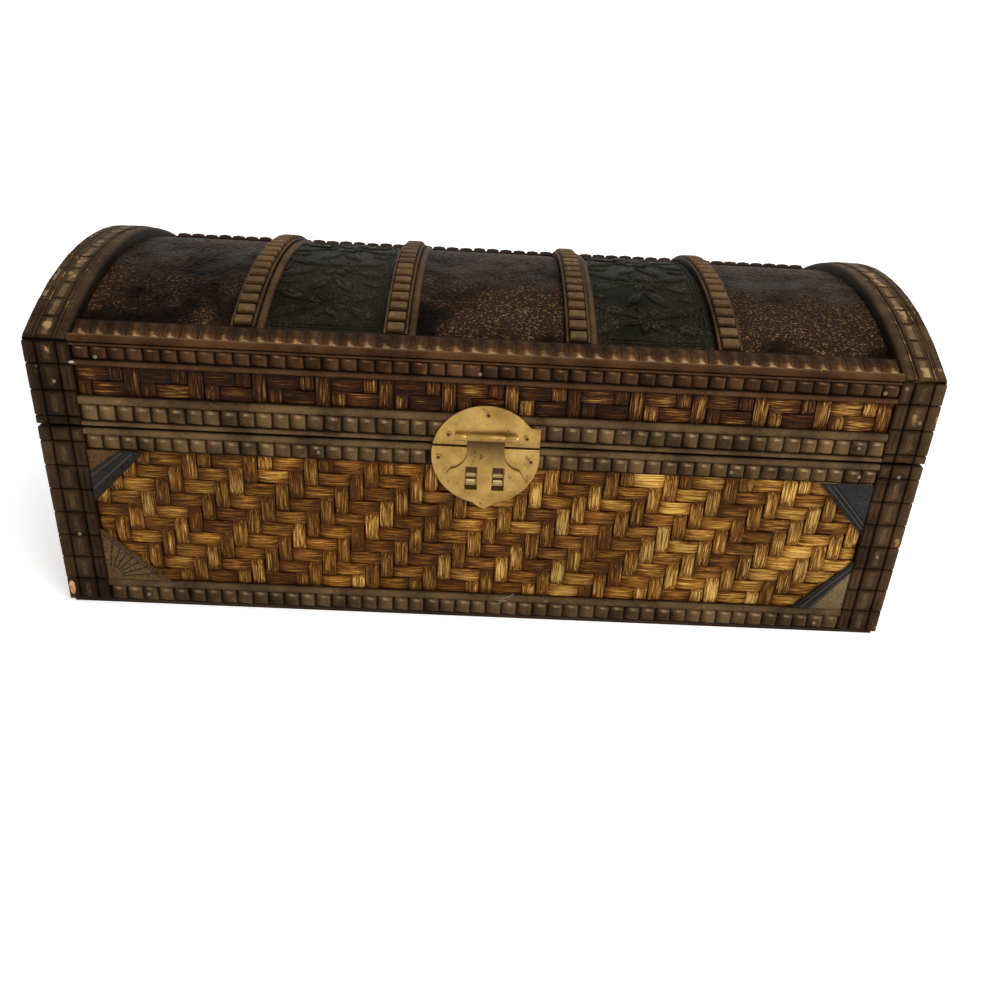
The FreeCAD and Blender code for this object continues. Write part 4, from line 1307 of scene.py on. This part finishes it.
# %% [markdown]
# ### Leather corners on the front
# Three corners of the woven front hold a leather patch behind a black strap, and the fourth holds a tooled
# brown triangle. The solids already have the right outlines, so each is copied, its loose triangles are
# merged and its edges are eased. A raised line on the straps and a fan of pressed ribs on the triangle are
# added on top.

# %% A cleaned copy of a solid, and a rib on the front
def softened(node, width, segments=2):
    copy = linked(node + "_soft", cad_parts[node].data.copy())
    copy.data.materials.clear()
    open_up(copy)
    bpy.ops.mesh.remove_doubles(threshold=0.005 * mm)
    bpy.ops.mesh.dissolve_limited(angle_limit=math.radians(2))
    done()
    ease(copy, width, segments, 35)
    return mark(copy, 0.3)


def front_rib(name, start, end, y, width, rise, crest):
    # A low ridge on the front face from one (x, z) point to another
    run = Vector((end[0] - start[0], 0, end[1] - start[1]))
    rib = mark(strip_along(name, ridge_section(width, 0, rise, 0.2), run.length, 4), crest)
    along, out = run.normalized(), Vector((0, -1, 0))
    centre = ((start[0] + end[0]) / 2, y, (start[1] + end[1]) / 2)
    return turned(rib, axes(along, out.cross(along), out, centre))


# %% Straps
LEG = 24.0 * mm  # the short sides of a corner patch
STRAP_FACE = -BOARD_Y - WEAVE_STAND - 1.1 * mm + 0.05 * mm
# Which side, down from the top or up from the foot, and where the strap's two edges meet the frame, in legs
STRAPS = ((-1, -1, (0.933, 0.975, 0.54, 0.40)), (1, -1, (0.933, 0.97, 0.675, 0.74)),
          (1, 1, (0.933, 1.03, 0.57, 0.80)))
straps = [softened("corner_straps", 0.35 * mm)]
for side, rise, legs in STRAPS:
    corner_z = WEAVE_HIGH if rise < 0 else WEAVE_LOW
    for share in (0.42, 0.85):
        along = (legs[0] + (legs[2] - legs[0]) * share) * LEG
        upward = (legs[1] + (legs[3] - legs[1]) * share) * LEG
        first = (side * (RAIL_X - along * 0.96), corner_z + rise * upward * 0.04)
        second = (side * (RAIL_X - along * 0.04), corner_z + rise * upward * 0.96)
        straps.append(front_rib("line", first, second, STRAP_FACE, 0.6 * mm, 0.3 * mm, 1.0))
hand_over(joined("straps", straps), "corner_straps_lined", "base", ["corner_straps"],
          [black_hide])

# %% Patches, each in its own leather
patch = softened("corner_patches", 0.2 * mm)
for finish in (tan_hide, night_hide, brown_hide, worn_hide):
    patch.data.materials.append(finish)
for face in patch.data.polygons:
    right, low = face.center.x > 0, face.center.z < 40 * mm
    face.material_index = (0 if low else 1) if right else (2 if low else 3)

# %% The fan of pressed ribs at the lower left
TOOLED_FACE = -BOARD_Y - WEAVE_STAND - 0.6 * mm + 0.05 * mm
WIDE_LEG, TALL_LEG = 1.11 * LEG, 1.03 * LEG
heart = (-RAIL_X + 1.0 * mm, WEAVE_LOW + 1.0 * mm)
ribs = []
for degrees in (8, 20, 32, 44, 56, 68, 80):
    angle = math.radians(degrees)
    reach = 1 / (math.cos(angle) / WIDE_LEG + math.sin(angle) / TALL_LEG) - 3.0 * mm
    start, end = [(heart[0] + far * math.cos(angle), heart[1] + far * math.sin(angle))
                  for far in (5.5 * mm, reach)]
    ribs.append(front_rib("fan", start, end, TOOLED_FACE, 0.7 * mm, 0.18 * mm, 0.0))
for share in (0.9, 0.97):
    first = (-RAIL_X + WIDE_LEG * share - 0.6 * mm, WEAVE_LOW + 0.6 * mm)
    second = (-RAIL_X + 0.6 * mm, WEAVE_LOW + TALL_LEG * share - 0.6 * mm)
    ribs.append(front_rib("edge", first, second, TOOLED_FACE, 0.6 * mm, 0.18 * mm, 0.0))
fan = joined("fan", ribs)
fan.data.materials.append(black_hide)
hand_over(joined("patches", [patch, fan]), "corner_patches_tooled", "base", ["corner_patches"],
          [])

# %% [markdown]
# ## Brass
# The latch is cast brass, satin and pale gold where it is rubbed, with brown tarnish in patches. Its rims
# are darker, with tarnish and painted shade, painted shadows sit behind the slots of the hasp, and the neck
# under the barrel carries a painted shadow. The plates and the hasp are cleaned copies of the solids with
# soft rims. Each staple is a rounded outline spun through half a turn, and each pin head is a low cylinder,
# inset and pushed in, because their roundness shows even at this size.

# %% Brass finishes
aged_brass, tree, shader, place = new_finish("aged brass", 0.2)
metal = use(tree, drift, Vector=place, Dark=(0.24, 0.14, 0.034, 1), Light=(0.42, 0.262, 0.075, 1),
            Patch_Scale=90.0, Grain_Scale=1500.0, Grain=0.35)
spots = step_between(tree, speckle(tree, place, 380.0, 4.0, 0.7), 0.6, 0.68)
stain = step_between(tree, speckle(tree, place, 95.0, 5.0, 0.65), 0.55, 0.72)
# Tarnish in spots and stains, plus the brass value from the vertices: tarnish and painted shade on the rims,
# and painted shadows behind the slots and under the barrel
tarnish_and_shade = plus(tree, times(tree, spots, 0.7), times(tree, stain, 0.45), True)
tarnish_and_shade = plus(tree, tarnish_and_shade, step_between(tree, value_of(tree, "grime_and_shade"), 0.2, 0.8), True)
feed(tree, blend(tree, tarnish_and_shade, metal.outputs["Colour"], (0.075, 0.04, 0.015, 1)), shader.inputs["Base Color"])
shader.inputs["Metallic"].default_value = 0.8
feed(tree, ramp(tree, tarnish_and_shade, 0.36, 0.35), shader.inputs["Roughness"])
bump(tree, shader, metal.outputs["Grain"], 0.08 * mm, 0.5)

# The staples get a paler, less metallic brass: a painted brightness in place of the reflection along them
bright_brass = plain_finish("brightened staple brass", (0.58, 0.43, 0.22), 0.38, 0.3, 0.6)

# %% Helpers for the latch
LATCH_FACE, LATCH_Z, LATCH_R = -77.0 * mm, 79.2 * mm, 21.45 * mm
STAPLES = (-5.35 * mm, 5.35 * mm)


def staple(x):
    # A strip bent into a loop with two short legs. Its corners are shares of half its width and thickness
    half, thick, radius, leg = 2.1 * mm, 0.62 * mm, 1.9 * mm, 1.1 * mm
    centre = Vector((x, LATCH_FACE - 1.2 * mm, 69.4 * mm))
    corners = ((-1, -0.5), (-0.88, -1), (0.88, -1), (1, -0.5), (1, 0.4), (0.85, 1), (-0.85, 1), (-1, 0.4))
    outline = [centre + Vector((half * across, 0, radius + thick * out)) for across, out in corners]
    piece = ring("staple", outline)
    open_up(piece)
    bpy.ops.mesh.spin(steps=12, angle=math.pi, center=centre, axis=(1, 0, 0))
    done()
    pick(piece, lambda first, second: abs(first.y - centre.y) + abs(second.y - centre.y) < 0.02 * mm, "EDGE")
    bpy.ops.mesh.extrude_edges_move(TRANSFORM_OT_translate={"value": (0, leg, 0)})
    return capped(piece)


def pin_head(across, up, radius=1.15 * mm):
    # A round head with a dimple, at a share of the plate's radius across and up from its middle
    x, z = across * LATCH_R, LATCH_Z + up * LATCH_R
    bpy.ops.object.select_all(action="DESELECT")
    bpy.ops.mesh.primitive_cylinder_add(vertices=14, radius=radius, depth=0.9 * mm,
                                        location=(x, LATCH_FACE - 0.2 * mm, z), rotation=(math.pi / 2, 0, 0))
    piece = applied("pin")
    inset(piece, lambda centre, normal: normal.y < -0.9,
          (0.3 * radius, 0.15 * mm), (0.3 * radius, -0.55 * mm))
    note(piece, "grime_and_shade", lambda co: 1.0 if math.hypot(co.x - x, co.z - z) < 0.5 * radius else 0.0)
    return piece


def plate(node):
    # Darker towards the rims, growing from the front face backwards: tarnish and painted shade
    piece = softened(node, 0.2 * mm)
    note(piece, "grime_and_shade", lambda co: (co.y - LATCH_FACE - 0.1 * mm) / (0.5 * mm))
    return piece


def brass(piece, name, body, node, finish=aged_brass):
    hand_over(piece, name, body, [node], [finish], 40)


# %% Plates
brass(plate("latch_lid_plate"), "latch_upper_plate", "lid", "latch_lid_plate")
lower = [plate("latch_base_plate")]
for x in STAPLES:
    # A painted shadow: a dark patch behind each slot of the hasp
    shadow = block("shadow", (4.3 * mm, 0.12 * mm, 9.4 * mm), (x, LATCH_FACE - 0.03 * mm, 69.9 * mm))
    note(shadow, "grime_and_shade", 1.0)
    lower.append(shadow)
brass(joined("lower", lower), "latch_lower_plate", "base", "latch_base_plate")

# %% Hasp, staples and pins
BARREL_FOOT, NECK_FOOT, NECK = 87.0 * mm, 74.0 * mm, 12.0 * mm
HASP_FACE = -78.2 * mm


def hasp_tarnish_and_shade(co):
    # The neck under the barrel is painted brown, as the barrel's shadow on tarnished brass; the worn face is
    # pale and the rim is darker, with tarnish and painted shade
    if co.z > BARREL_FOOT:
        return 0.0
    rim = (co.y - HASP_FACE) / (0.5 * mm)
    return max(rim, 0.2 + 0.55 * (co.z - NECK_FOOT) / NECK if co.z > NECK_FOOT else 0.0)


hasp = softened("hasp", 0.25 * mm, 3)
slice_at(hasp, (0, 0, 1), [z * mm for z in (74.0, 76.5, 79.0, 81.5, 84.0, 86.6)])
note(hasp, "grime_and_shade", hasp_tarnish_and_shade)
brass(hasp, "hasp_plate", "hasp", "hasp")
loops = joined("staples", [staple(x) for x in STAPLES])
brass(loops, "latch_wire_staples", "base", "latch_staples", bright_brass)
upper = [pin_head(*spot) for spot in ((0.02, 0.83), (-0.69, 0.42), (0.74, 0.40))]
brass(joined("pins", upper), "latch_upper_pins", "lid", "latch_lid_pins")
lower = [pin_head(*spot) for spot in ((-0.867, -0.047), (0.844, -0.065))]
brass(joined("pins", lower), "latch_lower_pins", "base", "latch_base_pins")

# %% Finishes for the solids that stay as they are
for node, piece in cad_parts.items():
    if piece.hide_render:
        continue
    if node in ("hasp_pin", "hinge_pins", "hinge_base_leaves", "hinge_lid_leaves"):
        finish = aged_brass
    elif node == "gable_leathers":
        finish = black_hide
    else:
        finish = board_wood
    piece.data.materials.clear()
    piece.data.materials.append(finish)
    print("kept solid", node, finish.name)

# %% [markdown]
# ## Camera, light and ground
# The camera stands a little above the chest and looks down on its front, where the photograph was taken
# from. A large key lamp at the right, a weak fill at the left and one lamp overhead give the soft shadows
# of a studio. The ground and the world both look white, but they light the chest less than they show, so
# that its dark wood stays dark.

# %% Camera
lens = bpy.data.cameras.new("camera")
lens.lens = 34.67
lens.clip_start = 0.01
camera = linked("camera", lens)
# The picture's right, its top, the line of sight and the eye, fitted to the photograph
right, up = Vector((0.99864, -0.00165, 0.05220)), Vector((-0.04495, 0.48170, 0.87518))
forward, eye = Vector((0.02659, 0.87633, -0.48097)), Vector((-0.0036, -0.4187, 0.2474))
camera.matrix_world = axes(right, up, -forward, eye)
bpy.context.scene.camera = camera
bpy.context.scene.view_settings.view_transform = "Standard"
print("camera", [round(part, 3) for part in eye])

# %% Light
def soft_light(name, place, target, size, power):
    bpy.ops.object.select_all(action="DESELECT")
    bpy.ops.object.light_add(type="AREA", location=place)
    lamp = bpy.context.active_object
    lamp.name = name
    lamp.data.size = size
    lamp.data.energy = power
    lamp.rotation_euler = (Vector(target) - Vector(place)).to_track_quat("-Z", "Y").to_euler()
    print(name, "lamp", power, "watts")


soft_light("key", (0.55, -0.75, 0.75), (0.03, 0, 0.06), 0.6, 10.0)
soft_light("fill", (-0.8, -0.6, 0.45), (0, 0, 0.06), 0.7, 2.4)
soft_light("overhead", (0.1, 0.25, 0.95), (0, 0, 0.1), 0.8, 4.5)

# %% World
WORLD_LIGHT = 0.35  # what it lends the chest, against 1 for what the camera sees
world = bpy.data.worlds.new("world")
bpy.context.scene.world = world
world.use_nodes = True
tree = world.node_tree
back = tree.nodes["Background"]
back.inputs["Color"].default_value = (1, 1, 1, 1)
feed(tree, ramp(tree, seen_rays(tree), WORLD_LIGHT, 1 - WORLD_LIGHT), back.inputs["Strength"])

# %% Ground
NEAR_GLOW, FAR_GLOW = 0.36, 0.7
bpy.ops.object.select_all(action="DESELECT")
bpy.ops.mesh.primitive_plane_add(size=300, location=(0, 0, -0.0002))
ground = bpy.context.active_object
ground.name = "ground"
finish, tree, shader, place = new_finish("pale ground")
shader.inputs["Base Color"].default_value = (0.9, 0.9, 0.9, 1)
shader.inputs["Roughness"].default_value = 0.9
shader.inputs["Emission Color"].default_value = (1, 1, 1, 1)
# Far from the lamps the ground needs more help to stay white; near the chest it keeps the shadow
away = wired(tree, "ShaderNodeVectorMath", {"operation": "LENGTH"}, {0: place}, "Value")
help_far = step_between(tree, away, 0.25, 1.6)
glow = ramp(tree, help_far, NEAR_GLOW, FAR_GLOW - NEAR_GLOW)
feed(tree, times(tree, seen_rays(tree), glow), shader.inputs["Emission Strength"])
ground.data.materials.append(finish)
